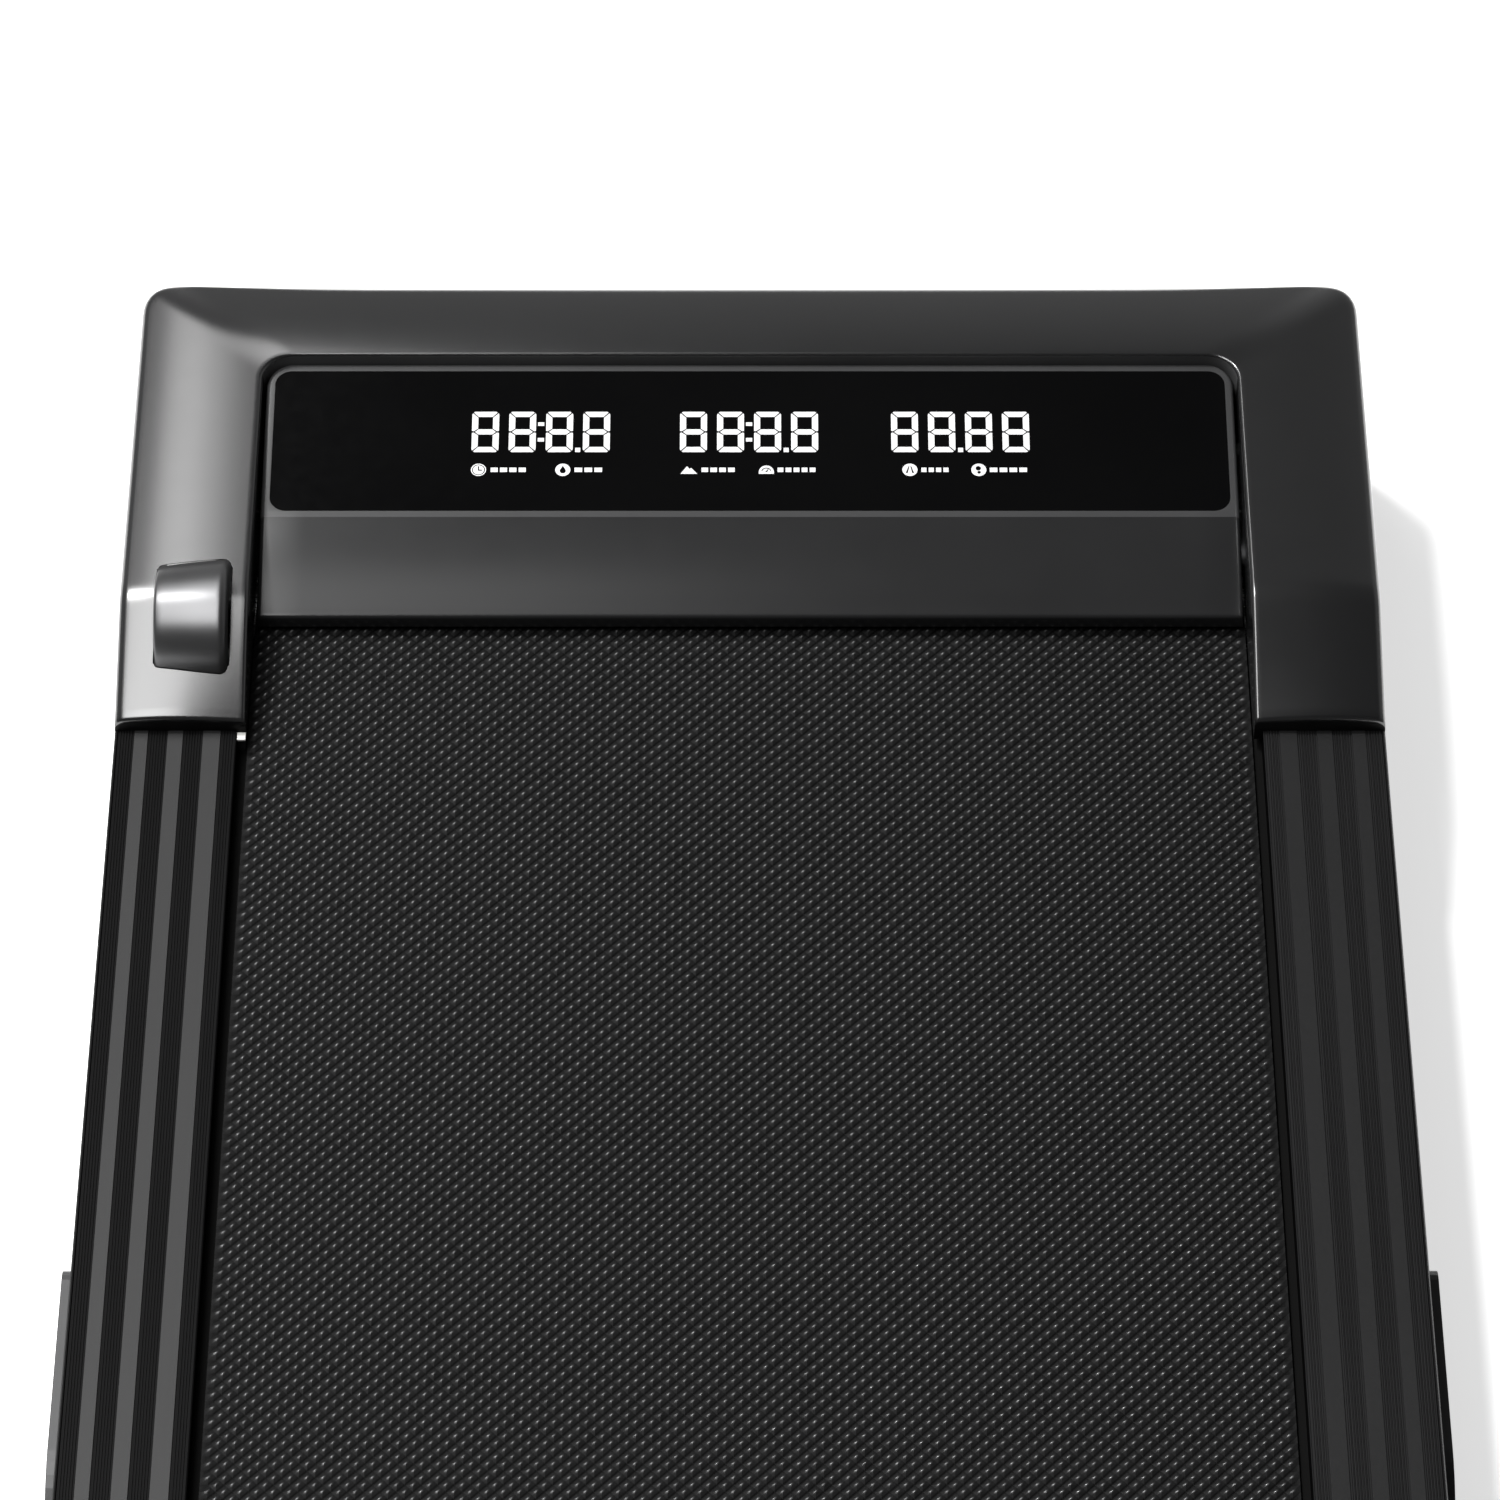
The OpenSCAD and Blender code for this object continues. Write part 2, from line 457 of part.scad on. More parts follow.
// ---------------------------------------------------------------- foot rails
// Edges of the bands on a foot rail, measured inwards from its outer edge.
bands = [8.4, 14.1, 22.3, 28.7, 37, 44.3];
rib = 1.15;
function ribs(a, b) = let (n = floor((b - a - 0.6) / rib), s = a + ((b - a) - n * rib) / 2)
  [for (i = [0:n - 1]) each [[hw - s - i * rib - 0.1, rail_z - 0.45], [hw - s - i * rib - 0.25, rail_z], [hw - s - i * rib - 0.75, rail_z], [hw - s - i * rib - 0.9, rail_z - 0.45]]];
module foot_rail_right() color([0.11, 0.11, 0.11])
  translate([0, wing_y - 0.4, 0]) rotate([90, 0, 0]) linear_extrude(height = wing_y - 0.4 - cap_y - 0.4)
    polygon(concat(
      [[hw - 2.5, 20], [hw, 20], [hw, rail_z - 1.2], [hw - 0.6, rail_z - 0.2], [hw - 1.2, rail_z], [hw - 1.6, rail_z - 0.45]],
      ribs(1.6, bands[0] - 0.2),
      [[hw - bands[0], rail_z - 0.45], [hw - bands[0], rail_z - 0.7], [hw - bands[1], rail_z - 0.7], [hw - bands[1], rail_z - 0.45]],
      ribs(bands[1] + 0.2, bands[2] - 0.2),
      [[hw - bands[2], rail_z - 0.45], [hw - bands[2], rail_z - 0.7], [hw - bands[3], rail_z - 0.7], [hw - bands[3], rail_z - 0.45]],
      ribs(bands[3] + 0.2, bands[4] - 0.2),
      [[hw - bands[4], rail_z - 0.45], [hw - bands[4], rail_z - 0.7], [hw - bands[5], rail_z - 0.7], [hw - bands[5], rail_z - 0.45]],
      ribs(bands[5] + 0.2, hw - rail_in - 0.8),
      [[rail_in + 0.6, rail_z - 0.45], [rail_in + 0.4, rail_z - 0.1], [rail_in, rail_z - 0.5], [rail_in, deck_top + 0.1], [rail_in + 2, deck_top + 0.1], [rail_in + 2, rail_z - 3],
       [hw - 30, rail_z - 3], [hw - 30, deck_top + 0.1], [hw - 28, deck_top + 0.1], [hw - 28, rail_z - 3], [hw - 2.5, rail_z - 3]]));
module foot_rail_left() mirror([1, 0, 0]) foot_rail_right();
// Raised grip strips laid in the channels of a foot rail.
module strips() for (i = [0, 2, 4])
  block([hw - bands[i + 1] + 0.05, cap_y + 0.6, rail_z - 0.7], [hw - bands[i] - 0.05, wing_y - 0.6, rail_z + 0.25]);
module grip_strips() color([0.36, 0.36, 0.36]) both() strips();

// Corner cover behind a foot rail, round the end of the rear roller.
module cap_plan(g) hull() {
  translate([hw - 18, yr + 18]) circle(r = 18 - g, $fn = 64);
  translate([bw + 4.5 + g, yr + g]) square([10, 10]);
  translate([bw + 4.5 + g, cap_y - 10]) square([hw - g - bw - 4.5 - g, 10 + (g > 0 ? 1 : 0)]);
}
module rear_caps() color([0.1, 0.1, 0.105]) both() difference() {
  translate([0, 0, 20]) linear_extrude(height = rail_z + 1.5 - 20) cap_plan(0);
  translate([0, 0, 19]) linear_extrude(height = rail_z - 1 - 19) cap_plan(wall);
  block([bw + 4, yr - 1, 19], [bw + 8, cap_y + 1, axis_z + 9]);
  rod_y(hw - 16, axis_z, 7, yr - 1, yr + 5);
  block([bw + 4, cap_y - 10, 19], [hw - wall, cap_y + 1, deck_top + 0.6]);
}

module rear_feet() color([0.05, 0.05, 0.05]) both() {
  translate([hw - 16, yr + 70, 0])
    rotate_extrude($fn = 64) polygon([[0, 0], [13.5, 0], [15, 1.5], [12.8, 19], [12.8, tube_lo], [0, tube_lo]]);
}

// ---------------------------------------------------------------- incline
// Covers over the pivots of the lift frame, on the outside of the foot rails.
module pivot_covers() color([0.12, 0.12, 0.125]) both() difference() {
  side_profile(concat([[pivot_y - 4, 26], [pivot_y + 83, 26]],
    arc(pivot_y + 75, 58, 8, 0, 90, 5), arc(pivot_y - 4, 26, 40, 90, 180, 12)), hw, hw + 5.6);
  side_profile(concat([[pivot_y - 4, 28.5], [pivot_y + 80.5, 28.5]],
    arc(pivot_y + 75, 58, 5.5, 0, 90, 5), arc(pivot_y - 4, 28.5, 35, 90, 180, 12)), hw - 1, hw + 3.4);
}
module lift_pivot_bolts() color("silver") both() {
  rod_x(pivot_y, pivot_z, pivot_r, arm_in - 3, hw - 2.6);
  rod_x(pivot_y, pivot_z, pivot_r + 4, arm_in - 8, arm_in - 3);
}
module lift_arms() color([0.13, 0.13, 0.14]) both() difference() {
  union() {
    side_profile([[pivot_y - 4, pivot_z - 12], [pivot_y + 4, pivot_z + 11], [pivot_y + 22, pivot_z + 6], [pivot_y + 70, 22], [lift_y + 12, 22], [lift_y + 12, 10], [pivot_y + 62, 8], [pivot_y + 30, 12]], arm_in, arm_out);
    rod_x(pivot_y, pivot_z, 12, arm_in, arm_out);
  }
  rod_x(pivot_y, pivot_z, pivot_r + 0.06, arm_in - 1, arm_out + 1);
  rod_x(lift_y, bar_z, 4.2, arm_in - 1, arm_out + 1, 48);
  rod_x(castor_y, castor_r - 4.5, 3.6, arm_in - 1, arm_out + 1, 48);
}
// Round bar between the arms, which the actuator pushes down.
module lift_crossbar() color([0.13, 0.13, 0.14]) {
  rod_x(lift_y, bar_z, 8, -arm_in, arm_in);
  both() rod_x(lift_y, bar_z, 4.1, arm_in, arm_out);
}
module wheel_axles() color("silver") both() {
  rod_x(castor_y, castor_r - 4.5, 3.5, arm_in - 2, arm_out);
  block([arm_out, castor_y - 5, 8], [arm_out + 3, castor_y + 5, castor_r + 5]);
  rod_x(castor_y, castor_r, 4, arm_out + 3, hw - 11.5);
}
module transport_wheel() difference() {
  translate([arm_out + 4.2, castor_y, castor_r]) rotate([0, 90, 0]) rotate_extrude($fn = 96)
    polygon([[4.06, 0], [9, 0], [9, 2], [castor_r - 5, 2], [castor_r - 4, 0.5], [castor_r - 1, 0.5], [castor_r, 2], [castor_r, 14.5], [castor_r - 1, 16], [castor_r - 4, 16], [castor_r - 5, 14.5], [9, 14.5], [9, 16.5], [4.06, 16.5]]);
}
module transport_wheel_right() color([0.08, 0.08, 0.08]) transport_wheel();
module transport_wheel_left() color([0.08, 0.08, 0.08]) mirror([1, 0, 0]) transport_wheel();
// Gearmotor on its bracket, with the screw that it turns.
module lift_actuator() color([0.22, 0.22, 0.23]) {
  difference() {
    block([-20, lift_y - 14, 84], [42, lift_y + 14, hood_z - 7]);
    block([-21, lift_y + 9.5, hood_z - 11], [43, lift_y + 15, hood_z - 6]);
    rod_z(0, lift_y, 5.06, 83, 90.5, 48);
  }
  rod_x(lift_y, 92, 8, 42, 46, 64);
  rod_x(lift_y, 90, 12.5, 46, 108, 64);
  block([-23, lift_y - 12, 28.5], [-20, lift_y + 12, 100]);
  block([42, lift_y - 12, 28.5], [45, lift_y + 12, 88]);
}
module lift_screw() color("silver") rod_z(0, lift_y, 5, 31, 90, 48);
// Nut and push tube, with an eye round the cross bar.
module lift_tube() color([0.6, 0.61, 0.62]) difference() {
  union() {
    rod_z(0, lift_y, 9, 26, 80, 64);
    block([-8, lift_y - 13.5, 4], [8, lift_y + 12, 28]);
  }
  rod_z(0, lift_y, 5.9, 29.5, 70, 64);
  rod_z(0, lift_y, 5.06, 69, 81, 64);
  rod_x(lift_y, bar_z, 8.35, -9, 9);
  rod_x(lift_y - 3.4, bar_z, 8.35, -9, 9);
  block([-9, lift_y - 3.4, bar_z - 8.35], [9, lift_y, bar_z + 8.35]);
}

frame_rail_left();
frame_rail_right();
deck_crossmembers();
front_crossmember();
motor_tray();
deck_board();
deck_cushions();
deck_screws();
running_belt();
belt_guide();
front_roller_tube();
front_roller_bearings();
front_roller_pulley();
front_roller_shaft();
rear_roller_tube();
rear_roller_bearings();
rear_roller_shaft();
roller_saddles();
tension_bolts();
drive_belt();
motor_housing();
motor_magnets();
motor_bearings();
motor_mount();
motor_shaft();
motor_rotor();
motor_flywheel();
motor_pulley();
controller_board();
controller_heatsink();
power_inlet();
power_switch_body();
power_rocker();
breaker_body();
reset_button();
hood();
hood_screws();
console_panel();
display_lens();
display_board();
speed_wheel();
speed_wheel_axle();
speed_wheel_cradle();
speed_encoder();
foot_rail_left();
foot_rail_right();
grip_strips();
rear_caps();
rear_feet();
wiring_harness();
pivot_covers();
lift_pivot_bolts();
lift_arms();
lift_crossbar();
wheel_axles();
transport_wheel_left();
transport_wheel_right();
lift_actuator();
lift_screw();
lift_tube();
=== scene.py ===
import json
import math

import bmesh
import bpy
import numpy as np
from mathutils import Matrix, Vector

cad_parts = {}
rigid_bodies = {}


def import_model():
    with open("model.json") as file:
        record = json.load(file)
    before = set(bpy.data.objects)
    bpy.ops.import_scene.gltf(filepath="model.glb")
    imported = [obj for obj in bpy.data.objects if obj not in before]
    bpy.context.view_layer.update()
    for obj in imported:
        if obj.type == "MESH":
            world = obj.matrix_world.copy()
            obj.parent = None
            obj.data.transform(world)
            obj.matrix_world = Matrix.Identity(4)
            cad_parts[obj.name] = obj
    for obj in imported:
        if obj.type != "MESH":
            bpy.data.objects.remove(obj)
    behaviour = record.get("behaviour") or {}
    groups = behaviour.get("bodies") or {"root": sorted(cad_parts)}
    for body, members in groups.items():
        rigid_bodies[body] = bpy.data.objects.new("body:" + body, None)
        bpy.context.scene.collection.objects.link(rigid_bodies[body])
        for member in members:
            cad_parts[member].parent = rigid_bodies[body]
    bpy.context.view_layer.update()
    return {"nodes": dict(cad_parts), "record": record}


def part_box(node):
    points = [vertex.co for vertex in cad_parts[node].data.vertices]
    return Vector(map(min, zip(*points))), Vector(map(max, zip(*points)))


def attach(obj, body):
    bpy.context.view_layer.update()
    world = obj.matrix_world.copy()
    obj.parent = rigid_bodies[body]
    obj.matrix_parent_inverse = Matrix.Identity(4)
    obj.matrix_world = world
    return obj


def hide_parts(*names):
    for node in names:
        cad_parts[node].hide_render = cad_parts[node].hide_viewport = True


for o in list(bpy.data.objects):
    bpy.data.objects.remove(o)

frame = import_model()
N = frame["nodes"]
MM = 0.001
scene = bpy.context.scene


def bx(node):
    lo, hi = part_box(node)
    return np.array(lo) * 1000, np.array(hi) * 1000


# ------------------------------------------------------------------ reference numbers, all in mm, from the frame
hood_lo, hood_hi = bx("hood")
belt_lo, belt_hi = bx("running_belt")
con_lo, con_hi = bx("console_panel")
lens_lo, lens_hi = bx("display_lens")
whl_lo, whl_hi = bx("speed_wheel")
HW = hood_hi[0]                 # half width of the hood
YF = hood_hi[1]                 # front face
YW = hood_lo[1]                 # rear end of the wings
HZ = hood_hi[2]                 # top of the hood
BW = belt_hi[0]                 # half width of the belt
IN_X = BW + 0.4                 # inner edge of the wings
IN_Y = YF - 48.4                  # inner edge of the front band
CREASE_Y = YF - 181
REAR_Z = 91.5

# ------------------------------------------------------------------ camera
cam_d = bpy.data.cameras.new("camera")
cam = bpy.data.objects.new("camera", cam_d)
scene.collection.objects.link(cam)
cam_d.sensor_width = 36
cam_d.lens = 36 * 6276 / 1500
cam_d.clip_end = 50
elev = math.radians(51)
tgt = Vector((0, (YF - 246.8) * MM, 84 * MM))
cam.location = tgt - Vector((0, math.cos(elev), -math.sin(elev))) * 2.611
cam.rotation_euler = (math.radians(90) - elev, 0, 0)
scene.camera = cam


# ------------------------------------------------------------------ materials
def new_mat(name):
    m = bpy.data.materials.new(name)
    m.use_nodes = True
    nt = m.node_tree
    nt.nodes.clear()
    out = nt.nodes.new("ShaderNodeOutputMaterial")
    b = nt.nodes.new("ShaderNodeBsdfPrincipled")
    nt.links.new(b.outputs[0], out.inputs[0])
    return m, nt, b


def tex_coord(nt, scale=(1, 1, 1), rot=(0, 0, 0)):
    tc = nt.nodes.new("ShaderNodeTexCoord")
    mp = nt.nodes.new("ShaderNodeMapping")
    mp.inputs["Scale"].default_value = scale
    mp.inputs["Rotation"].default_value = rot
    nt.links.new(tc.outputs["Object"], mp.inputs[0])
    return mp.outputs[0]


def noise(nt, vec, scale, detail=3.0, rough=0.5):
    n = nt.nodes.new("ShaderNodeTexNoise")
    n.inputs["Scale"].default_value = scale
    n.inputs["Detail"].default_value = detail
    n.inputs["Roughness"].default_value = rough
    nt.links.new(vec, n.inputs["Vector"])
    return n.outputs["Fac"]


def ramp(nt, fac, stops):
    r = nt.nodes.new("ShaderNodeValToRGB")
    e = r.color_ramp.elements
    while len(e) < len(stops):
        e.new(0.5)
    for k, (p, c) in enumerate(stops):
        e[k].position = p
        e[k].color = (c[0], c[1], c[2], 1)
    nt.links.new(fac, r.inputs[0])
    return r.outputs["Color"]


def maprange(nt, fac, a, b, c, d):
    m = nt.nodes.new("ShaderNodeMapRange")
    m.inputs["From Min"].default_value = a
    m.inputs["From Max"].default_value = b
    m.inputs["To Min"].default_value = c
    m.inputs["To Max"].default_value = d
    nt.links.new(fac, m.inputs["Value"])
    return m.outputs["Result"]


def math_node(nt, op, a, b=None):
    m = nt.nodes.new("ShaderNodeMath")
    m.operation = op
    for k, v in enumerate((a, b)):
        if v is None:
            continue
        if isinstance(v, (int, float)):
            m.inputs[k].default_value = v
        else:
            nt.links.new(v, m.inputs[k])
    return m.outputs[0]


def bump(nt, b, height, strength, dist):
    n = nt.nodes.new("ShaderNodeBump")
    n.inputs["Strength"].default_value = strength
    n.inputs["Distance"].default_value = dist
    nt.links.new(height, n.inputs["Height"])
    nt.links.new(n.outputs[0], b.inputs["Normal"])
    return n


def plastic(name, col, rough=0.4, var=0.12, rvar=0.06, grain=900.0, gstr=0.12, gdist=0.00005, spec=0.5, coat=0.0, coat_rough=0.1, metal=0.0, ior=1.5, big=14.0):
    """Moulded or painted surface: slow colour and roughness drift, and a fine grain."""
    m, nt, b = new_mat(name)
    v = tex_coord(nt)
    n1 = noise(nt, v, big, 4)
    lo = [c * (1 - var) for c in col]
    hi = [c * (1 + var) for c in col]
    nt.links.new(ramp(nt, n1, [(0.3, lo), (0.7, hi)]), b.inputs["Base Color"])
    n2 = noise(nt, v, big * 6, 5)
    nt.links.new(maprange(nt, n2, 0.25, 0.75, rough - rvar, rough + rvar), b.inputs["Roughness"])
    if gstr:
        g = noise(nt, v, grain, 2)
        bump(nt, b, g, gstr, gdist)
    b.inputs["Specular IOR Level"].default_value = spec
    b.inputs["IOR"].default_value = ior
    b.inputs["Metallic"].default_value = metal
    if coat:
        b.inputs["Coat Weight"].default_value = coat
        b.inputs["Coat Roughness"].default_value = coat_rough
    return m


def metal(name, col, rough=0.3, axis="x", brush=1.0, rvar=0.1):
    """Turned, drawn or plated metal with fine marks along one axis."""
    m, nt, b = new_mat(name)
    s = {"x": (4, 900, 900), "y": (900, 4, 900), "z": (900, 900, 4), "n": (300, 300, 300)}[axis]
    v = tex_coord(nt, s)
    g = noise(nt, v, 1.0, 3)
    v2 = tex_coord(nt)
    n1 = noise(nt, v2, 22.0, 4)
    nt.links.new(ramp(nt, n1, [(0.3, [c * 0.86 for c in col]), (0.7, [min(1, c * 1.06) for c in col])]), b.inputs["Base Color"])
    nt.links.new(maprange(nt, g, 0.25, 0.75, rough - rvar, rough + rvar), b.inputs["Roughness"])
    b.inputs["Metallic"].default_value = 1.0
    bump(nt, b, g, 0.15 * brush, 0.00004)
    return m


M = {}
M["hood"] = plastic("hood_gloss", (0.0050, 0.0051, 0.0054), rough=0.215, rvar=0.006, grain=260, gstr=0.02, gdist=0.000004, spec=1.0, var=0.08, coat=0.2, coat_rough=0.24)
M["console"] = plastic("console_satin", (0.0125, 0.0126, 0.0130), rough=0.235, rvar=0.008, grain=260, gstr=0.02, gdist=0.000004, spec=0.27, var=0.08)
# painted shade: a near-black, dull copy of the hood plastic for the wings' rear walls
M["hood_end"] = plastic("rear_wall_painted_shade", (0.0022, 0.0022, 0.0023), rough=0.6, gstr=0.1, gdist=0.00002, spec=0.15)
M["bezel"] = plastic("bezel_satin", (0.036, 0.0362, 0.037), rough=0.3, rvar=0.01, grain=260, gstr=0.02, gdist=0.000004, spec=0.3, var=0.05)
# painted light: a matt copy of the hood plastic, about ten times lighter, for the groove's front wall; its grain is
# real
M["hood_side"] = plastic("grained_wall_painted_light", (0.048, 0.0483, 0.0492), rough=0.42, rvar=0.03, gstr=0.1, gdist=0.00002, spec=0.4, var=0.08)
M["cover"] = plastic("cover_satin", (0.020, 0.020, 0.021), rough=0.38, rvar=0.04, gstr=0.16)
M["black"] = plastic("moulded_black", (0.018, 0.018, 0.019), rough=0.48, gstr=0.3, grain=600)
M["white"] = plastic("white_nylon", (0.74, 0.74, 0.71), rough=0.42, var=0.04, gstr=0.12)
M["red"] = plastic("red_plastic", (0.52, 0.03, 0.02), rough=0.28, var=0.06, gstr=0.05)
M["paint"] = plastic("powder_coat", (0.020, 0.020, 0.021), rough=0.5, gstr=0.45, grain=1300, gdist=0.00008)
M["board"] = plastic("solder_mask", (0.012, 0.095, 0.045), rough=0.32, var=0.25, big=60)
M["rubber"] = plastic("rubber", (0.022, 0.022, 0.022), rough=0.72, gstr=0.4, grain=700, spec=0.35)
M["tyre"] = plastic("wheel_rubber", (0.026, 0.026, 0.027), rough=0.6, gstr=0.35, grain=800, spec=0.4)
M["lead"] = plastic("lead_sheath", (0.016, 0.016, 0.017), rough=0.5, gstr=0.15)
M["steel"] = metal("zinc_plate", (0.60, 0.60, 0.62), 0.32, "n")
M["machined"] = metal("turned_steel", (0.62, 0.62, 0.63), 0.26, "x")
M["alu"] = metal("cast_aluminium", (0.58, 0.59, 0.60), 0.42, "n")
M["copper"] = metal("winding", (0.62, 0.30, 0.15), 0.35, "x")
M["magnet"] = metal("ferrite", (0.16, 0.16, 0.17), 0.5, "n")


def wheel_mat():
    """Satin grey barrel of the thumb wheel."""
    m, nt, b = new_mat("wheel_satin")
    v = tex_coord(nt, (2600, 30, 30))
    g = noise(nt, v, 1.0, 2)
    v2 = tex_coord(nt)
    n1 = noise(nt, v2, 40.0, 4)
    nt.links.new(ramp(nt, n1, [(0.3, (0.108, 0.108, 0.110)), (0.7, (0.118, 0.118, 0.120))]), b.inputs["Base Color"])
    nt.links.new(maprange(nt, n1, 0.25, 0.75, 0.32, 0.36), b.inputs["Roughness"])
    b.inputs["Metallic"].default_value = 0.92
    bump(nt, b, g, 0.015, 0.000004)
    return m


M["wheel"] = wheel_mat()


def lens_mat():
    """Smoked window: near black, with the faintest dust and swirl in its polish."""
    m, nt, b = new_mat("smoked_window")
    v = tex_coord(nt)
    n1 = noise(nt, v, 9.0, 4)
    nt.links.new(ramp(nt, n1, [(0.3, (0.0018, 0.0018, 0.0019)), (0.7, (0.0026, 0.0026, 0.0027))]), b.inputs["Base Color"])
    n2 = noise(nt, v, 160.0, 5)
    nt.links.new(maprange(nt, n2, 0.3, 0.7, 0.10, 0.15), b.inputs["Roughness"])
    b.inputs["Specular IOR Level"].default_value = 0.03
    return m


M["lens"] = lens_mat()


def belt_mat():
    """Black belt top: each raised diamond has a glossy tip whose base colour is lifted to grey, a painted highlight,
    and the grooves are darkened below the belt's own black, painted shade.
    """
    m, nt, b = new_mat("belt_diamonds_painted_glint")
    v = tex_coord(nt)
    at = nt.nodes.new("ShaderNodeAttribute")
    at.attribute_name = "belt_h"
    h = at.outputs["Fac"]
    n1 = noise(nt, v, 120.0, 4, 0.6)
    n2 = noise(nt, v, 900.0, 3, 0.6)
    n3 = noise(nt, v, 6.0, 3)
    # painted highlight on the tips (0.150) and painted shade in the grooves (0.0008), around the belt's own black
    # (0.007)
    base = ramp(nt, h, [(0.0, (0.0008, 0.0008, 0.0008)), (0.14, (0.0012, 0.0012, 0.0012)), (0.30, (0.0070, 0.0070, 0.0071)), (0.56, (0.0072, 0.0072, 0.0073)), (0.84, (0.0105, 0.0105, 0.0107)), (1.0, (0.150, 0.150, 0.152))])
    mix = nt.nodes.new("ShaderNodeMix")
    mix.data_type = "RGBA"
    mix.blend_type = "MULTIPLY"
    mix.inputs[0].default_value = 1.0
    nt.links.new(base, mix.inputs[6])
    nt.links.new(ramp(nt, n1, [(0.25, (0.62, 0.62, 0.62)), (0.75, (1.25, 1.25, 1.25))]), mix.inputs[7])
    nt.links.new(mix.outputs[2], b.inputs["Base Color"])
    r = math_node(nt, "ADD", maprange(nt, h, 0.5, 0.97, 0.60, 0.24), maprange(nt, n1, 0.3, 0.7, -0.08, 0.10))
    nt.links.new(r, b.inputs["Roughness"])
    hb = math_node(nt, "ADD", math_node(nt, "MULTIPLY", n1, 0.6), math_node(nt, "MULTIPLY", n2, 0.7))
    bump(nt, b, hb, 0.55, 0.00022)
    nt.links.new(maprange(nt, h, 0.70, 0.95, 0.10, 0.80), b.inputs["Specular IOR Level"])
    return m


def belt_plain():
    """Inner face and edges of the belt: fine woven backing."""
    m, nt, b = new_mat("belt_backing")
    v = tex_coord(nt)
    w1 = nt.nodes.new("ShaderNodeTexWave")
    w1.wave_type = "BANDS"
    w1.bands_direction = "X"
    w1.inputs["Scale"].default_value = 320
    w2 = nt.nodes.new("ShaderNodeTexWave")
    w2.wave_type = "BANDS"
    w2.bands_direction = "Y"
    w2.inputs["Scale"].default_value = 320
    nt.links.new(v, w1.inputs[0])
    nt.links.new(v, w2.inputs[0])
    hb = math_node(nt, "MULTIPLY", w1.outputs["Fac"], w2.outputs["Fac"])
    nt.links.new(ramp(nt, hb, [(0.0, (0.012, 0.012, 0.012)), (1.0, (0.035, 0.035, 0.035))]), b.inputs["Base Color"])
    b.inputs["Roughness"].default_value = 0.75
    bump(nt, b, hb, 0.4, 0.0001)
    return m


M["belt"] = belt_mat()
M["belt_in"] = belt_plain()


def rail_mat(k=1.0, spec=0.16):
    """Ribbed foot rail: matt, with streaks drawn along its length. Faces turned towards the belt gap are darkened and
    lose most sheen, as painted shade, and k scales the whole colour for a lighter or darker copy, painted light and
    shade.
    """
    m, nt, b = new_mat("rail_ribbed")
    v = tex_coord(nt, (2600, 3.0, 200))
    s = noise(nt, v, 1.0, 3, 0.6)
    v2 = tex_coord(nt)
    n1 = noise(nt, v2, 10.0, 3)
    n2 = noise(nt, v2, 1400.0, 2)
    mix = math_node(nt, "ADD", math_node(nt, "MULTIPLY", s, 0.8), math_node(nt, "MULTIPLY", n1, 0.2))
    geo = nt.nodes.new("ShaderNodeNewGeometry")
    sep = nt.nodes.new("ShaderNodeSeparateXYZ")
    nt.links.new(geo.outputs["True Normal"], sep.inputs[0])
    place = nt.nodes.new("ShaderNodeTexCoord")
    where = nt.nodes.new("ShaderNodeSeparateXYZ")
    nt.links.new(place.outputs["Object"], where.inputs[0])
    inward = nt.nodes.new("ShaderNodeMath")
    inward.operation = "MULTIPLY"
    nt.links.new(sep.outputs["X"], inward.inputs[0])
    nt.links.new(where.outputs["X"], inward.inputs[1])
    # painted shade: faces turned towards the belt gap are darkened to 0.12 of the colour and lose most of their sheen
    wall = maprange(nt, inward.outputs[0], -0.205, -0.16, 0.12, 1.0)
    mix = math_node(nt, "MULTIPLY", mix, wall)
    nt.links.new(ramp(nt, mix, [(0.0, (0.0006, 0.0006, 0.0006)), (0.3, (0.0022 * k, 0.0022 * k, 0.0023 * k)), (0.7, (0.0072 * k, 0.0072 * k, 0.0074 * k))]), b.inputs["Base Color"])
    nt.links.new(maprange(nt, s, 0.3, 0.7, 0.40, 0.58), b.inputs["Roughness"])
    hb = math_node(nt, "ADD", s, math_node(nt, "MULTIPLY", n2, 0.4))
    bump(nt, b, hb, 0.3, 0.00008)
    nt.links.new(math_node(nt, "MULTIPLY", wall, spec), b.inputs["Specular IOR Level"])
    return m


# painted light: the right rail's copy is made 1.5 times lighter, for its ribs that catch the light
M["rail"] = rail_mat(1.5)


def grip_mat():
    """Smooth grey grip strip with a faint pebble."""
    m, nt, b = new_mat("grip_grey")
    v = tex_coord(nt)
    n1 = noise(nt, v, 7.0, 3)
    n2 = noise(nt, v, 1100.0, 3, 0.6)
    nt.links.new(ramp(nt, n1, [(0.3, (0.0078, 0.0078, 0.0080)), (0.7, (0.0092, 0.0092, 0.0094))]), b.inputs["Base Color"])
    nt.links.new(maprange(nt, n2, 0.3, 0.7, 0.34, 0.42), b.inputs["Roughness"])
    bump(nt, b, n2, 0.10, 0.00003)
    b.inputs["Specular IOR Level"].default_value = 0.28
    return m


M["grip"] = grip_mat()


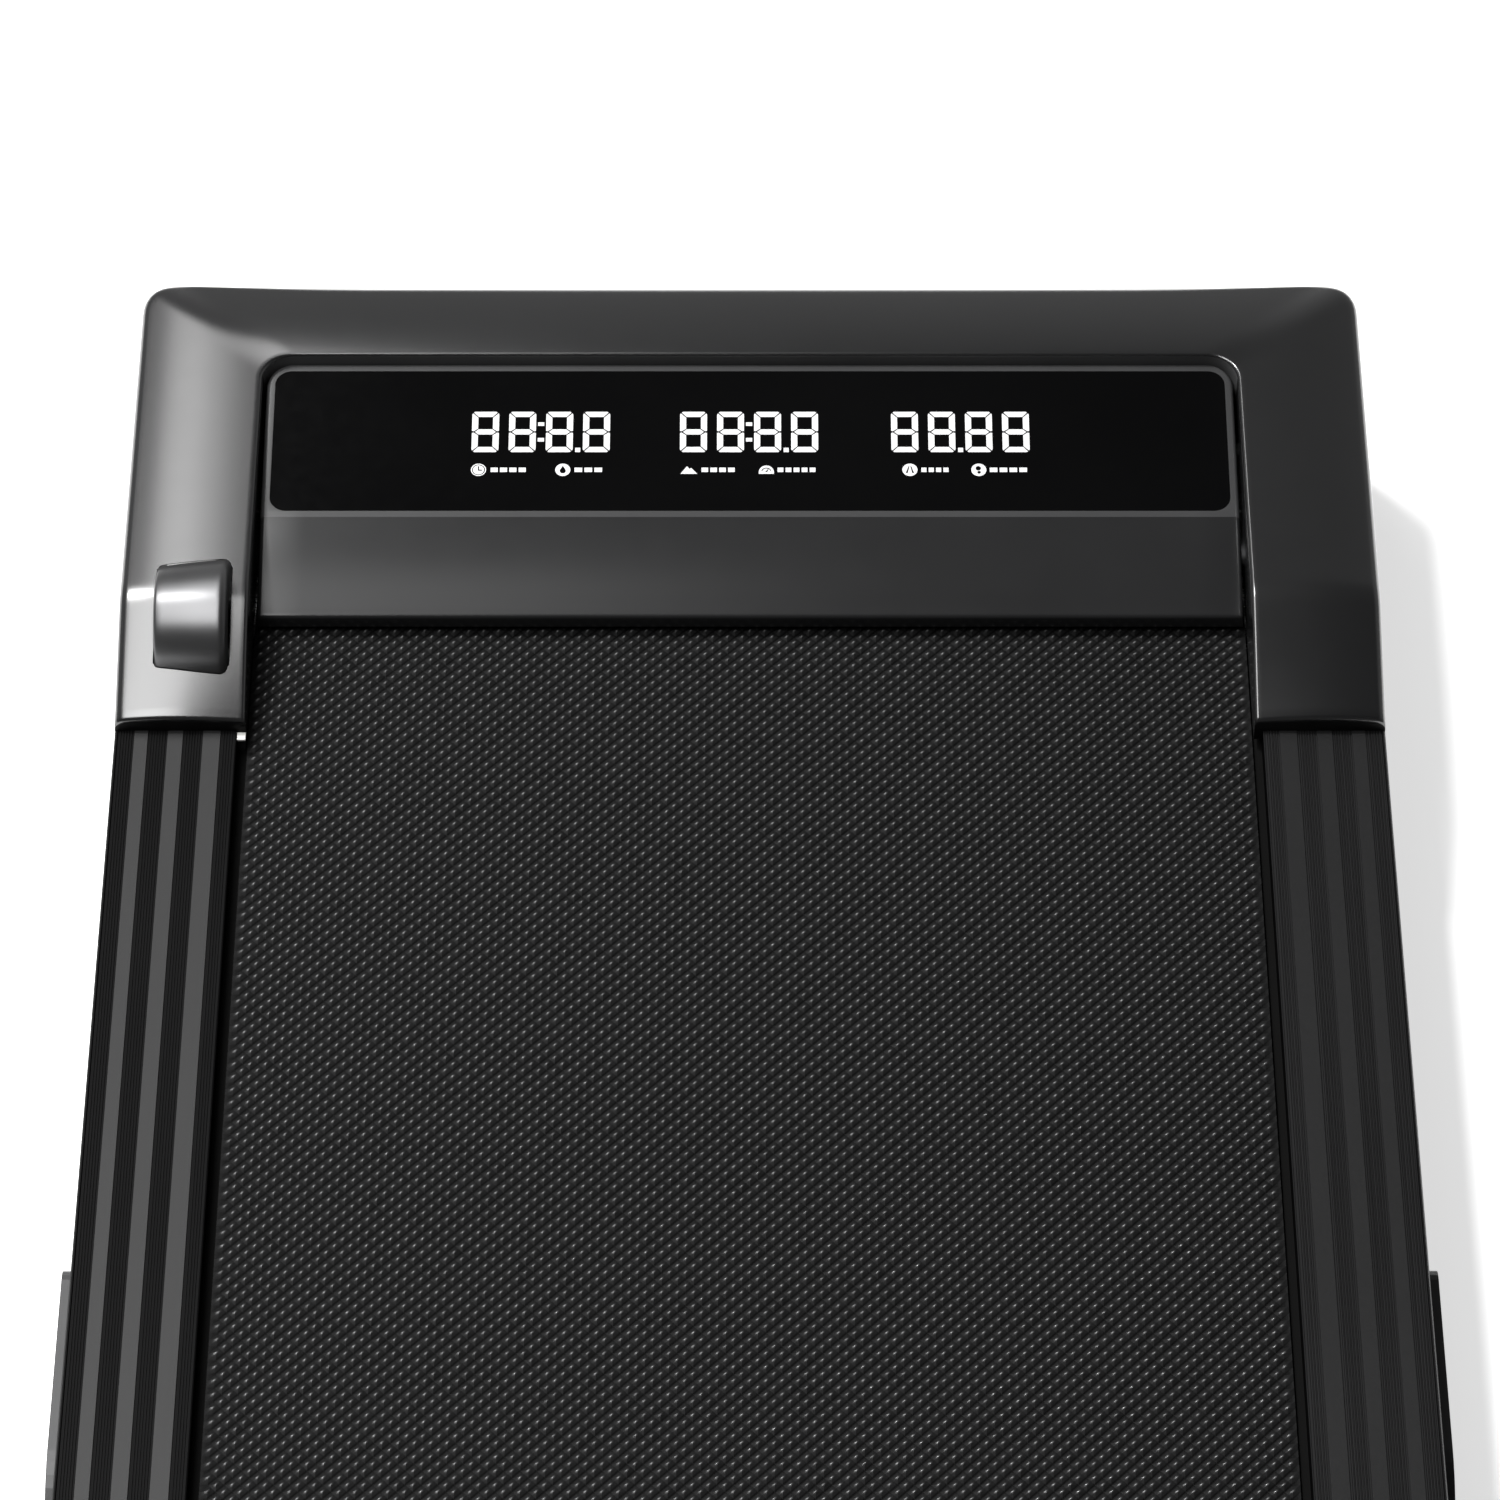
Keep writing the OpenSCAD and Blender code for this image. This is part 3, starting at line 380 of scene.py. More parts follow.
def wood_mat():
    # painted shade: the board's colour is near black, for the dark gap beside the belt; the streaky grain is real
    m, nt, b = new_mat("deck_board")
    v = tex_coord(nt, (60, 4, 60))
    n1 = noise(nt, v, 1.0, 5, 0.6)
    nt.links.new(ramp(nt, n1, [(0.3, (0.0010, 0.0010, 0.0009)), (0.7, (0.0022, 0.0021, 0.0020))]), b.inputs["Base Color"])
    nt.links.new(maprange(nt, n1, 0.3, 0.7, 0.60, 0.75), b.inputs["Roughness"])
    b.inputs["Specular IOR Level"].default_value = 0.08
    bump(nt, b, n1, 0.2, 0.0001)
    return m


M["wood"] = wood_mat()


def glow_mat():
    """Lit display segments, with a slight falloff from segment to segment."""
    m, nt, b = new_mat("lit_segment")
    v = tex_coord(nt)
    n1 = noise(nt, v, 55.0, 2)
    c = ramp(nt, n1, [(0.3, (0.44, 0.44, 0.445)), (0.7, (0.49, 0.49, 0.49))])
    nt.links.new(c, b.inputs["Base Color"])
    nt.links.new(c, b.inputs["Emission Color"])
    b.inputs["Emission Strength"].default_value = 0.72
    b.inputs["Roughness"].default_value = 0.6
    b.inputs["Specular IOR Level"].default_value = 0.1
    return m


M["glow"] = glow_mat()

SLOT_MAT = {"hood_gloss": "hood", "console": "console", "lens": "lens", "belt": "belt_in", "rail": "rail", "grip": "grip", "wheel_grip": "wheel", "cover": "cover",
            "white_plastic": "white", "red_plastic": "red", "black_plastic": "black", "frame_paint": "paint", "steel": "steel", "machined": "machined", "aluminium": "alu",
            "wood": "wood", "rubber": "rubber", "tyre": "tyre", "board": "board", "copper": "copper"}
# painted shade: the left rail gets a darker copy with less sheen, for its ribs turned away from the light
M["rail_l"] = rail_mat(0.72, 0.05)
for sp in frame["record"]["subparts"]:
    o = N[sp["node"]]
    mat = M[SLOT_MAT[sp["material_slot"]]]
    if sp["node"] == "foot_rail_left":
        mat = M["rail_l"]
    if sp["node"] == "motor_magnets":
        mat = M["magnet"]
    if sp["node"] == "wiring_harness":
        mat = M["lead"]
    for s in o.material_slots:
        s.material = mat
    if not o.material_slots:
        o.data.materials.append(mat)


# ------------------------------------------------------------------ mesh helpers
def add_obj(name, verts, faces, mats, smooth=True, body="chassis"):
    me = bpy.data.meshes.new(name)
    me.from_pydata([tuple(np.array(v) * MM) for v in verts], [], faces)
    me.validate()
    me.update()
    o = bpy.data.objects.new(name, me)
    scene.collection.objects.link(o)
    for m in mats:
        me.materials.append(m)
    if smooth:
        me.polygons.foreach_set("use_smooth", [True] * len(me.polygons))
    return o


def apply_mods(o):
    dg = bpy.context.evaluated_depsgraph_get()
    me = bpy.data.meshes.new_from_object(o.evaluated_get(dg))
    old = o.data
    o.modifiers.clear()
    o.data = me
    bpy.data.meshes.remove(old)
    return o


def cut(o, cutters):
    for c in cutters:
        md = o.modifiers.new("cut", "BOOLEAN")
        md.operation = "DIFFERENCE"
        md.solver = "EXACT"
        md.object = c
    apply_mods(o)
    for c in cutters:
        bpy.data.objects.remove(c)
    return o


def fix_normals(o, angle=32):
    bm = bmesh.new()
    bm.from_mesh(o.data)
    bmesh.ops.remove_doubles(bm, verts=bm.verts, dist=0.000005)
    bmesh.ops.dissolve_degenerate(bm, edges=bm.edges, dist=0.000004)
    bmesh.ops.recalc_face_normals(bm, faces=bm.faces)
    bm.to_mesh(o.data)
    bm.free()
    o.data.polygons.foreach_set("use_smooth", [True] * len(o.data.polygons))
    o.data.set_sharp_from_angle(angle=math.radians(angle))
    return o


def box_obj(name, lo, hi, bevel=0.0):
    bm = bmesh.new()
    bmesh.ops.create_cube(bm, size=1)
    for v in bm.verts:
        v.co = Vector([(lo[k] + hi[k]) / 2 + v.co[k] * (hi[k] - lo[k]) for k in range(3)]) * MM
    if bevel:
        bmesh.ops.bevel(bm, geom=list(bm.edges), offset=bevel * MM, segments=3, affect="EDGES", profile=0.5)
    me = bpy.data.meshes.new(name)
    bm.to_mesh(me)
    bm.free()
    o = bpy.data.objects.new(name, me)
    scene.collection.objects.link(o)
    return o


def rod_obj(name, axis, c, r, a, b, n=64):
    """A cylinder along axis (0 X, 1 Y, 2 Z) through c from a to b."""
    bm = bmesh.new()
    bmesh.ops.create_cone(bm, cap_ends=True, segments=n, radius1=r * MM, radius2=r * MM, depth=(b - a) * MM)
    rot = {0: Matrix.Rotation(math.pi / 2, 4, "Y"), 1: Matrix.Rotation(-math.pi / 2, 4, "X"), 2: Matrix.Identity(4)}[axis]
    p = list(c)
    p[axis] = (a + b) / 2
    bmesh.ops.transform(bm, matrix=Matrix.Translation(Vector(p) * MM) @ rot, verts=bm.verts)
    me = bpy.data.meshes.new(name)
    bm.to_mesh(me)
    bm.free()
    o = bpy.data.objects.new(name, me)
    scene.collection.objects.link(o)
    return o


def sstep(a, b, x):
    t = np.clip((x - a) / (b - a), 0, 1)
    return t * t * (3 - 2 * t)


# ------------------------------------------------------------------ hood
def smooth_max(a, b, k):
    h = np.clip(0.5 + 0.5 * (a - b) / k, 0, 1)
    return b * (1 - h) + a * h + k * h * (1 - h)


def hood_base(y):
    """Height of the wings along their length: a long gentle fall, then the slope past the crease."""
    top = HZ - 1.6 + (y - IN_Y) * (0.9 / (IN_Y - CREASE_Y))
    slope = REAR_Z + (y - YW) * ((HZ - 2.7 - REAR_Z) / (CREASE_Y - YW))
    return -smooth_max(-top, -slope, 1.6)


def hood_h(x, y):
    """Height of the hood's skin over the plan, before its edge rounding."""
    ax = abs(x)
    uw = np.clip((ax - IN_X) / (HW - IN_X), -0.2, 1.1)
    uf = np.clip((y - IN_Y) / (YF - IN_Y), -0.2, 1.1)
    crown = 1.5 * (1 - ((uw - 0.42) / 0.58) ** 2) - 0.35
    crown = np.where(uw < 0.42, 1.5 - 0.35 - 0.3 * ((0.42 - uw) / 0.42) ** 2, crown)
    tw = np.clip((CREASE_Y - 8 - y) / (CREASE_Y - 8 - YW), 0, 1)
    zw = hood_base(min(y, IN_Y + 60)) + crown - 1.6 * np.clip(uw, 0, 1) ** 3 - 2.6 * tw ** 1.4 * (1 - np.clip(uw, 0, 1)) ** 1.5
    zf = HZ - 6.2 * np.clip(uf, 0, 1.1) ** 2.0 - 0.1
    w = sstep(-0.22, 0.30, uf - uw)
    return float(zw * (1 - w) + zf * w)


def arc2(cx, cy, r, a0, a1, n):
    return [(cx + r * math.cos(math.radians(a0 + (a1 - a0) * k / n)), cy + r * math.sin(math.radians(a0 + (a1 - a0) * k / n))) for k in range(n + 1)]


def resample(pts, n):
    p = np.array(pts, float)
    d = np.r_[0, np.cumsum(np.linalg.norm(np.diff(p, axis=0), axis=1))]
    t = np.linspace(0, d[-1], n)
    return np.stack([np.interp(t, d, p[:, 0]), np.interp(t, d, p[:, 1])], 1)


def make_hood():
    R_OUT, R_IN = 18.0, 13.0
    ys = [YW, YW + 0.25, YW + 0.8, YW + 1.8] + list(np.arange(YW + 5, CREASE_Y - 6, 5.0)) + list(np.arange(CREASE_Y - 6, CREASE_Y + 6.1, 1.5)) + list(np.arange(CREASE_Y + 10, YF - 76, 6.0))
    y_c = YF - 75.0
    left_in = [(-IN_X, y) for y in ys]
    left_out = [(-HW, y) for y in ys]
    n = 46
    ci = resample([(-IN_X, y_c), (-IN_X, IN_Y - R_IN)] + arc2(-IN_X + R_IN, IN_Y - R_IN, R_IN, 180, 90, 24) + [(-150, IN_Y)], n)
    co = resample([(-HW, y_c), (-HW, YF - R_OUT)] + arc2(-HW + R_OUT, YF - R_OUT, R_OUT, 180, 90, 24) + [(-170, YF)], n)
    mid = np.linspace(-150, 0, 26)[1:]
    inn = left_in + [tuple(p) for p in ci] + [(x, IN_Y) for x in mid]
    out = left_out + [tuple(p) for p in co] + [(x * 170 / 150, YF) for x in mid]
    inn = inn + [(-x, y) for x, y in inn[-2::-1]]
    out = out + [(-x, y) for x, y in out[-2::-1]]
    S = len(inn)
    ri, ro = 1.6, 3.8
    rows = []
    for k in range(S):
        I = np.array(inn[k]); O = np.array(out[k]); L = np.linalg.norm(O - I); d = (O - I) / L
        front = sstep(0.42, 0.86, d[1])
        # at the wings' rear ends the skin turns down into the rear wall
        e = min(I[1], O[1]) - YW
        drop = 1.8 - math.sqrt(max(0.0, 1.8 ** 2 - (1.8 - min(e, 1.8)) ** 2)) if e < 1.8 else 0.0
        row = []

        def top(s):
            q = I + d * s
            return hood_h(q[0], q[1]) - drop, q

        zi, q = top(ri)
        zb = 78.0 * (1 - front) + 97.0 * front
        row.append((I[0], I[1], zb))
        for f in (0.55, 0.85):
            row.append((I[0], I[1], zb + (zi - ri - zb) * f))
        for a in (0, 18, 36, 54, 72):
            a = math.radians(a)
            q = I + d * (ri - ri * math.cos(a))
            row.append((q[0], q[1], zi - ri + ri * math.sin(a)))
        rr = ro * (1 - front) + 8.5 * front
        for f in np.r_[0, 0.03, np.linspace(0.08, 0.92, 22), 0.97]:
            s = ri + (L - ri - rr) * f
            z, q = top(s)
            row.append((q[0], q[1], z))
        zo, q = top(L - rr)
        z1, _ = top(L - rr - 1.0)
        ang0 = math.degrees(math.atan2(zo - z1, 1.0))  # slope of the skin where the rounding starts, negative downhill
        a0 = 90 + ang0 * 0.98
        cx = (L - rr)
        # the arc starts tangent to the skin and ends vertical
        rad_x = rr / (1 - math.cos(math.radians(a0)))
        for a in np.linspace(a0, 0, 10)[0:]:
            a = math.radians(a)
            s = L - rad_x + rad_x * math.cos(a)
            q = I + d * s
            row.append((q[0], q[1], zo - rad_x * math.sin(math.radians(a0)) + rad_x * math.sin(a)))
        zside = row[-1][2]
        for f in (0.04, 0.15, 0.4, 0.7, 0.95):
            row.append((O[0], O[1], zside + (21.2 - zside) * f))
        row.append((O[0] - d[0] * 0.35, O[1] - d[1] * 0.35, 20.35))
        row.append((O[0] - d[0] * 1.2, O[1] - d[1] * 1.2, 20.0))
        rows.append(row)
    T = len(rows[0])
    verts = [p for r in rows for p in r]
    faces = []
    mats = []
    for k in range(S - 1):
        for t in range(T - 1):
            a = k * T + t
            faces.append((a, a + 1, a + T + 1, a + T))
            # the inner wall's faces near the front take the lighter copy, painted light; further back the same wall
            # stays black gloss
            mats.append(1 if t < 4 and rows[k][0][1] > IN_Y - 12 else 0)
    # rear walls of the wings: closed from the inner wall's foot up and down to 77 mm on the outside, in a near-black
    # copy of the hood plastic as painted shade
    for k in (0, S - 1):
        idx = [k * T + t for t in range(T - 7)]
        x0 = rows[k][-7][0]
        y0 = rows[k][-7][1]
        verts.append((x0, y0, 78.0))
        w = len(verts) - 1
        # the sample below stays on the skirt, so the wall's foot joins it there
        faces.append(tuple(idx + [w]) if k == 0 else tuple([w] + idx[::-1]))
        mats.append(2)
    o = add_obj("hood_shell", verts, faces, [M["hood"], M["hood_side"], M["hood_end"]])
    o.data.polygons.foreach_set("material_index", mats)
    bm = bmesh.new()
    bm.from_mesh(o.data)
    bmesh.ops.recalc_face_normals(bm, faces=bm.faces)
    bm.to_mesh(o.data)
    bm.free()
    return o, rows


hood_o, hood_rows = make_hood()
sol = hood_o.modifiers.new("wall", "SOLIDIFY")
sol.thickness = 2.4 * MM
sol.offset = -1
sol.use_even_offset = True
sol.use_quality_normals = True
apply_mods(hood_o)
wc = [(whl_lo[0] + whl_hi[0]) / 2, (whl_lo[1] + whl_hi[1]) / 2, (whl_lo[2] + whl_hi[2]) / 2]


def wheel_profile():
    """Outer run of the thumb wheel as radius and distance along its axis: taper, broad rounding at the inner end."""
    w = whl_hi[0] - whl_lo[0]
    R = (whl_hi[1] - whl_lo[1]) / 2
    p = [(R - 4.6, 0.0)]
    for a in np.linspace(-80, -8, 6):
        a = math.radians(a)
        p.append((R - 4.4 + 1.7 * math.cos(a), 1.7 + 1.7 * math.sin(a)))
    x0, x1 = 1.6, w - 3.6
    for f in np.linspace(0, 1, 22)[1:]:
        p.append((R - 2.6 + 2.6 * (0.45 * f + 0.55 * math.sin(math.radians(90 * f))), x0 + (x1 - x0) * f))
    rr = 3.4
    for a in np.linspace(6, 84, 9):
        a = math.radians(a)
        p.append((R - rr - 0.02 + rr * math.cos(a), w - rr + rr * math.sin(a) - 0.1))
    p.append((R - 4.6, w))
    return p


def lathe(name, prof, mats, n=160):
    verts, faces = [], []
    for r, x in prof:
        for k in range(n):
            a = 2 * math.pi * k / n
            verts.append((whl_lo[0] + x, wc[1] + r * math.cos(a), wc[2] + r * math.sin(a)))
    m = len(prof)
    for j in range(m):
        j2 = (j + 1) % m
        for k in range(n):
            k2 = (k + 1) % n
            faces.append((j * n + k, j * n + k2, j2 * n + k2, j2 * n + k))
    return add_obj(name, verts, faces, mats)


gap = 0.55
wp = wheel_profile()
cut_prof = [(1.0, -gap)] + [(r + gap, min(max(x, -gap), whl_hi[0] - whl_lo[0] + gap)) for r, x in wp] + [(1.0, whl_hi[0] - whl_lo[0] + gap)]
cut_prof[1] = (wp[0][0] + gap, -gap)
cut_prof[-2] = (wp[-1][0] + gap + 0.6, whl_hi[0] - whl_lo[0] + gap)
wheel_cut = lathe("wheel_cut", cut_prof, [], 128)
bmx = bmesh.new()
bmx.from_mesh(wheel_cut.data)
bmesh.ops.recalc_face_normals(bmx, faces=bmx.faces)
bmx.to_mesh(wheel_cut.data)
bmx.free()
in_lo, in_hi = bx("power_inlet")
sw_lo, sw_hi = bx("power_switch_body")
br_lo, br_hi = bx("breaker_body")
cutters = [
    wheel_cut,
    box_obj("c2", (in_lo[0] - 0.2, YF - 8, in_lo[2] - 0.2), (in_hi[0] + 0.2, YF + 5, in_hi[2] + 0.2)),
    box_obj("c3", (sw_lo[0] - 0.2, YF - 8, sw_lo[2] - 0.2), (sw_hi[0] + 0.2, YF + 5, sw_hi[2] + 0.2)),
    rod_obj("c4", 1, ((br_lo[0] + br_hi[0]) / 2, 0, (br_lo[2] + br_hi[2]) / 2), 8.2, YF - 8, YF + 5, 64),
]
cut(hood_o, cutters)
fix_normals(hood_o, 34)
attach(hood_o, "chassis")
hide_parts("hood")

# ------------------------------------------------------------------ console
CF = YF - 49.0
CC = YF - 130.0
CL = YF - 175.5
CFZ = HZ - 5.8
CCZ = CFZ - 8.4
CLZ = CCZ - 11.7
CX = BW - 1.1
TILT = math.atan(8.4 / 81.5)
SLOPE = math.atan(11.7 / 45.5)


def con_h(y):
    up = CCZ + (y - CC) * math.tan(TILT)
    t = (CC - y) / (CC - CL)
    dn = CCZ - (CCZ - CLZ) * (0.66 * t + 0.34 * max(t, 0.0) ** 2)
    return float(-smooth_max(-up, -dn, 0.45)) + 0.0


def make_console():
    R = 11.5
    r = 1.0
    rs = 1.0
    ys = list(np.arange(CL + 2.2, CC - 4, 4.0)) + list(np.arange(CC - 3.5, CC + 3.6, 0.7)) + list(np.arange(CC + 6, CF - R, 5.0))
    loop = [(-CX, y) for y in ys] + arc2(-CX + R, CF - R, R, 180, 90, 16)
    half = len(loop)
    loop = loop + [(-x, y) for x, y in loop[::-1]]
    L = len(loop)
    nrm = []
    for k in range(L):
        p = np.array(loop[max(0, k - 1)]); q = np.array(loop[min(L - 1, k + 1)])
        t = q - p
        t = t / np.linalg.norm(t)
        nrm.append(np.array([-t[1], t[0]]))
    for k in range(len(ys)):
        nrm[k] = np.array([-1.0, 0.0])
        nrm[L - 1 - k] = np.array([1.0, 0.0])
    rings = []
    prof = [(r - r * math.sin(math.radians(a)), -(r - r * math.cos(math.radians(a)))) for a in (0, 15, 30, 45, 60, 75, 90)]
    prof += [(0.0, -r - 1.5), (0.0, -r - 4.0), (0.0, -r - 7.0)]
    for ins, dz in prof:
        ring = []
        for k in range(L):
            g = 0.75 + 1.25 * abs(nrm[k][0]) ** 2
            q = np.array(loop[k]) - nrm[k] * ins * g
            ring.append((q[0], q[1], con_h(q[1]) + dz * g if dz > -r - 0.01 else con_h(q[1]) - r * g + (dz + r)))
        rings.append(ring)
    # lip rows: rounding over the rear edge, then straight down
    lip = []
    rl = 2.2
    zc = con_h(CL + rl)
    for a in np.linspace(SLOPE * 0 + 90 + math.degrees(SLOPE), 180, 9)[1:]:
        a = math.radians(a)
        lip.append((CL + rl + rl * math.cos(a), zc - rl + rl * math.sin(a)))
    lip += [(CL, zc - rl - 1.5), (CL, 79.0)]
    verts = []
    faces = []
    idx = []
    for ring in rings:
        idx.append(list(range(len(verts), len(verts) + L)))
        verts += ring
    for a, b in zip(idx[:-1], idx[1:]):
        for k in range(L - 1):
            faces.append((a[k], b[k], b[k + 1], a[k + 1]))
    top = idx[0]
    # interior of the top, in rows across, with columns so that the shading stays even
    cols = 24
    prev = None
    for k in range(half):
        l, rr_ = top[k], top[L - 1 - k]
        pl, pr = np.array(verts[l]), np.array(verts[rr_])
        row = [l]
        for c in range(1, cols):
            f = c / cols
            p = pl * (1 - f) + pr * f
            verts.append(tuple(p))
            row.append(len(verts) - 1)
        row.append(rr_)
        if prev:
            for c in range(cols):
                faces.append((prev[c], row[c], row[c + 1], prev[c + 1]))
        else:
            first = row
        prev = row
    # lip, with the same columns and the side profile at each end
    lrows = []
    ends = [[idx[j][0] for j in range(len(idx))], [idx[j][L - 1] for j in range(len(idx))]]
    base_row = ends[0][::-1] + first[1:-1] + ends[1]
    prev = base_row
    bx_ = [verts[i] for i in base_row]
    for y, z in lip:
        row = []
        for p in bx_:
            dz = p[2] - con_h(p[1])
            verts.append((p[0], y, max(79.0, z + dz)))
            row.append(len(verts) - 1)
        for c in range(len(row) - 1):
            faces.append((prev[c], prev[c + 1], row[c + 1], row[c]))
        prev = row
    o = add_obj("console_shell", verts, faces, [M["console"], M["bezel"]])
    o.data.polygons.foreach_set("material_index", [1 if sum(verts[i][1] for i in f) / len(f) > CC + 0.5 else 0 for f in faces])
    bm = bmesh.new()
    bm.from_mesh(o.data)
    bmesh.ops.remove_doubles(bm, verts=bm.verts, dist=0.00001)
    bmesh.ops.recalc_face_normals(bm, faces=bm.faces)
    up = sum(f.normal.z * f.calc_area() for f in bm.faces)
    if up < 0:
        bmesh.ops.reverse_faces(bm, faces=bm.faces)
    bm.to_mesh(o.data)
    bm.free()
    return o


con_o = make_console()
sol = con_o.modifiers.new("wall", "SOLIDIFY")
sol.thickness = 1.5 * MM
sol.offset = -1
sol.use_even_offset = False
apply_mods(con_o)
# pocket for the window
LR = 7.0
lx = lens_hi[0] + 0.2
rotm = Matrix.Translation(Vector((0, CC, CCZ)) * MM) @ Matrix.Rotation(TILT, 4, "X")
LL = (lens_hi[1] - lens_lo[1]) / math.cos(TILT) - 0.2 * 0
y0, y1 = 4.0 - 0.2, 4.0 + 73.6 + 0.2


def rounded_plate(name, x, ya, yb, r, za, zb, n=10):
    pts = arc2(x - r, yb - r, r, 0, 90, n) + arc2(-x + r, yb - r, r, 90, 180, n) + arc2(-x + r, ya + r, r, 180, 270, n) + arc2(x - r, ya + r, r, 270, 360, n)
    k = len(pts)
    v = [(px, py, za) for px, py in pts] + [(px, py, zb) for px, py in pts]
    f = [tuple(range(k))[::-1], tuple(range(k, 2 * k))] + [(i, (i + 1) % k, k + (i + 1) % k, k + i) for i in range(k)]
    o = add_obj(name, v, f, [], smooth=False)
    o.data.transform(rotm)
    return o


pocket = rounded_plate("pocket", lx, y0, y1, LR + 0.2, -2.1, 4.0)
cut(con_o, [pocket])
fix_normals(con_o, 30)
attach(con_o, "chassis")
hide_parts("console_panel")


# ------------------------------------------------------------------ display digits and plain marks
def flat_poly(polys, name, z=0.06, thick=0.05):
    v, f = [], []
    for p in polys:
        k = len(v)
        n = len(p)
        v += [(x, y, z + thick) for x, y in p] + [(x, y, z) for x, y in p]
        f.append(tuple(range(k, k + n)))
        f.append(tuple(range(k + n, k + 2 * n))[::-1])
        f += [(k + i, k + n + i, k + n + (i + 1) % n, k + (i + 1) % n) for i in range(n)]
    o = add_obj(name, v, f, [M["glow"]], smooth=False)
    o.data.transform(rotm)
    bm = bmesh.new()
    bm.from_mesh(o.data)
    bmesh.ops.recalc_face_normals(bm, faces=bm.faces)
    bm.to_mesh(o.data)
    bm.free()
    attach(o, "chassis")
    return o


def seven(x, y, w=11.6, h=21.4, t=2.75, g=0.38, c=1.0):
    """The seven bars of one digit, with mitred ends and slightly rounded outer corners."""
    P = []
    hh = h / 2
    # top, bottom
    P.append([(x + g + c * 0.9, y + h), (x + w - g - c * 0.9, y + h), (x + w - g - 0.35, y + h - 0.45), (x + w - t - g * 0.2, y + h - t), (x + t + g * 0.2, y + h - t), (x + g + 0.35, y + h - 0.45)])
    P.append([(x + g + c * 0.9, y), (x + g + 0.35, y + 0.45), (x + t + g * 0.2, y + t), (x + w - t - g * 0.2, y + t), (x + w - g - 0.35, y + 0.45), (x + w - g - c * 0.9, y)])
    # middle
    m = t / 2
    P.append([(x + g + 0.9, y + hh), (x + t + 0.1, y + hh + m), (x + w - t - 0.1, y + hh + m), (x + w - g - 0.9, y + hh), (x + w - t - 0.1, y + hh - m), (x + t + 0.1, y + hh - m)])
    # sides
    for s in (0, 1):
        def fx(v):
            return x + v if s == 0 else x + w - v
        a = [(fx(0.0), y + hh + 0.35 + g * 0.5), (fx(0.0), y + h - 1.5), (fx(0.3), y + h - 0.85), (fx(t - g * 0.3), y + h - t - g * 1.1), (fx(t - g * 0.3), y + hh + m + g), (fx(0.75), y + hh + g * 0.95)]
        b = [(fx(0.0), y + hh - 0.35 - g * 0.5), (fx(0.75), y + hh - g * 0.95), (fx(t - g * 0.3), y + hh - m - g), (fx(t - g * 0.3), y + t + g * 1.1), (fx(0.3), y + 0.85), (fx(0.0), y + 1.5)]
        P += [a, b]
    return P


def bar(x, y, w, h):
    return [(x, y), (x + w, y), (x + w, y + h), (x, y + h)]


def disc(x, y, r, n=28):
    return [(x + r * math.cos(2 * math.pi * k / n), y + r * math.sin(2 * math.pi * k / n)) for k in range(n)]


def ring(x, y, ro, ri, n=28, a0=0, a1=360):
    out = []
    for k in range(n):
        b, c = [math.radians(a0 + (a1 - a0) * q / n) for q in (k, k + 1)]
        out.append([(x + ro * math.cos(b), y + ro * math.sin(b)), (x + ro * math.cos(c), y + ro * math.sin(c)), (x + ri * math.cos(c), y + ri * math.sin(c)), (x + ri * math.cos(b), y + ri * math.sin(b))])
    return out


DY = (YF - 95.6 - CC) / math.cos(TILT)   # foot of the digits along the slope
polys = []
for gx, colon, dot in ((-119.6, True, 3), (-30.1, True, 3), (60.7, False, 2)):
    for k in range(4):
        polys += seven(gx + 15.93 * k, DY)
    if colon:
        cx = gx + 15.93 * 2 - 2.15
        polys.append(bar(cx - 1.35, DY + 13.9, 2.7, 1.9))
        polys.append(bar(cx - 1.35, DY + 5.6, 2.7, 1.9))
    cx = gx + 15.93 * dot - 2.15
    polys.append(bar(cx - 1.1, DY + 0.0, 2.2, 2.3))
digits = flat_poly(polys, "display_digits")

LY = (YF - 104.9 - CC) / math.cos(TILT)  # middle of the row of marks
marks, darks = [], []
r0 = 3.25
marks += ring(-116.3, LY, r0, r0 - 0.45) + [disc(-116.3, LY, r0 - 0.85)]
darks += [bar(-116.55, LY - 0.2, 0.5, 2.0), bar(-116.55, LY - 0.45, 1.8, 0.5)]
marks += [disc(-80.2, LY, r0)]
darks += [[(-80.2, LY + 2.1), (-81.5, LY - 0.2), (-81.4, LY - 1.1), (-80.8, LY - 1.8), (-79.6, LY - 1.8), (-79.0, LY - 1.1), (-78.9, LY - 0.2)]]
marks += [[(-29.8, LY - 2.1), (-27.0, LY + 1.9), (-25.9, LY + 0.5), (-25.2, LY + 1.0), (-22.6, LY - 2.1)]]
marks += [[(7.0 - r0, LY - 2.1)] + [(7.0 + r0 * math.cos(math.radians(180 - 180 * k / 20)), LY - 1.3 + r0 * 1.1 * math.sin(math.radians(180 * k / 20))) for k in range(21)] + [(7.0 + r0, LY - 2.1)]]
darks += ring(7.0, LY - 1.1, 2.2, 1.8, 14, 15, 165) + [[(6.5, LY - 1.1), (7.4, LY - 1.1), (8.2, LY + 0.9)]]
marks += [disc(68.5, LY, r0)]
darks += [[(66.7, LY - 1.7), (67.5, LY - 1.7), (68.3, LY + 1.8), (67.9, LY + 1.8)], [(69.5, LY - 1.7), (70.3, LY - 1.7), (69.1, LY + 1.8), (68.7, LY + 1.8)]]
marks += [disc(98.0, LY, r0)]
darks += [disc(97.8, LY + 0.8, 1.15, 16), disc(98.1, LY - 1.3, 0.75, 14)]
